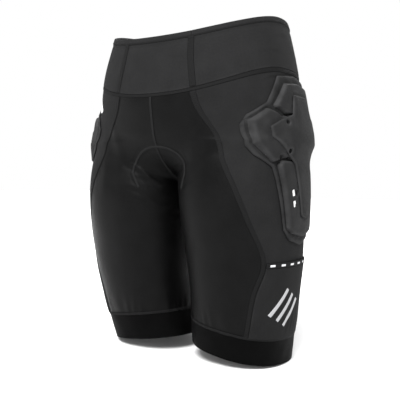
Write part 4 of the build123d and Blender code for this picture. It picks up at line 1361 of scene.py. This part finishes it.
def onFace(flat, height, towards):
    # the point over (across, height) in front or behind, at a distance off the body
    x, z = flat[:, 0], flat[:, 1]
    y = firstCrossing(lambda reach: bodyDistance(x, towards * reach, z) - height,
                      np.full(len(x), 5.0), np.full(len(x), 150.0))
    return np.stack([x, towards * y, z], -1)


def ellipseLoop(place, halfWidth, halfHeight, count=64):
    turn = np.linspace(0, 2 * math.pi, count, endpoint=False)
    return np.array(place) + np.stack([halfWidth * np.cos(turn), halfHeight * np.sin(turn)], -1)


def foamData(outline, towards):
    low, high = chamois["foam"]
    flat, triangles, gap = flatMesh(outline, [], 2.0)
    swell = (high - low - 1.8) * pillow(gap, 9.0)
    near = onFace(flat, np.full(len(flat), high - 0.3), towards)
    inner = onFace(flat, high - 0.6 - swell, towards)
    # planned from the front with across to the right, so faces turn round when seen from behind
    if towards > 0:
        triangles = triangles[:, ::-1]
    return closedShell(flat, triangles, near, inner, np.concatenate([gap, gap]))


def swollen(piece):
    # voxel remesh, pressure in a weightless cloth, and a cap on how far any point may go
    scene = bpy.context.scene
    bpy.ops.object.select_all(action="DESELECT")
    piece.select_set(True)
    bpy.context.view_layer.objects.active = piece
    remesh = piece.modifiers.new("remesh", "REMESH")
    remesh.mode, remesh.voxel_size = "VOXEL", foamPad["voxel"]
    bpy.ops.object.modifier_apply(modifier=remesh.name)
    mesh = piece.data
    count = len(mesh.vertices)
    start = np.empty(count * 3)
    mesh.vertices.foreach_get("co", start)
    start = start.reshape(-1, 3)
    place = start.copy()
    cloth = piece.modifiers.new("cloth", "CLOTH")
    cloth.settings.use_pressure = True
    cloth.settings.uniform_pressure_force = foamPad["pressure"]
    cloth.settings.effector_weights.gravity = 0
    cloth.point_cache.frame_end = foamPad["frames"]
    for step in range(1, foamPad["frames"] + 1):
        scene.frame_set(step)
    settled = piece.evaluated_get(bpy.context.evaluated_depsgraph_get()).to_mesh()
    place = np.empty(count * 3)
    settled.vertices.foreach_get("co", place)
    place = place.reshape(-1, 3)
    piece.modifiers.remove(cloth)
    scene.frame_set(1)
    move = place - start
    length = np.linalg.norm(move, axis=1, keepdims=True)
    move *= np.minimum(1, foamPad["cap"] / np.maximum(length, 1e-9))
    place = start + move
    # a sewn channel down the middle, and a shallower one each side
    middle = (place[:, 0].min() + place[:, 0].max()) / 2
    normals = np.empty(count * 3)
    mesh.vertices.foreach_set("co", place.ravel())
    mesh.update()
    mesh.vertices.foreach_get("normal", normals)
    away = (place[:, 0] - middle) / mm
    dent = sum(depth * np.exp(-((away - at) / 1.5) ** 2) for at, depth in ((0, 1.0), (-11, 0.6), (11, 0.6)))
    place -= normals.reshape(-1, 3) * (dent * foamPad["channel"] * mm)[:, None]
    mesh.vertices.foreach_set("co", place.ravel())
    subdivide = piece.modifiers.new("subdivide", "SUBSURF")
    subdivide.levels = subdivide.render_levels = 1
    bpy.ops.object.modifier_apply(modifier=subdivide.name)
    # the pattern is planned from the front again
    mesh = piece.data
    while mesh.uv_layers:
        mesh.uv_layers.remove(mesh.uv_layers[0])
    layer = mesh.uv_layers.new(name="cloth")
    corners = np.empty(len(mesh.loops), dtype=np.int32)
    mesh.loops.foreach_get("vertex_index", corners)
    every = np.empty(len(mesh.vertices) * 3)
    mesh.vertices.foreach_get("co", every)
    layer.data.foreach_set("uv", every.reshape(-1, 3)[corners][:, [0, 2]].astype(np.float32).ravel())
    mesh.polygons.foreach_set("use_smooth", np.ones(len(mesh.polygons), bool))
    mesh.update()


def makeChamoisPads():
    outlines = [("chamois_front_pad", ellipseLoop((0, 270), 23, 16), -1),
                ("chamois_sit_pad_left", ellipseLoop((34, 274), 25, 23), 1),
                ("chamois_sit_pad_right", ellipseLoop((-34, 274), 25, 23), 1)]
    for node, outline, towards in outlines:
        piece = addPiece(node, foamData(outline, towards), chamoisKnit, "chamois_knit")
        swollen(piece)


makeChamoisBases()
makeChamoisPads()
print("stage: chamois")
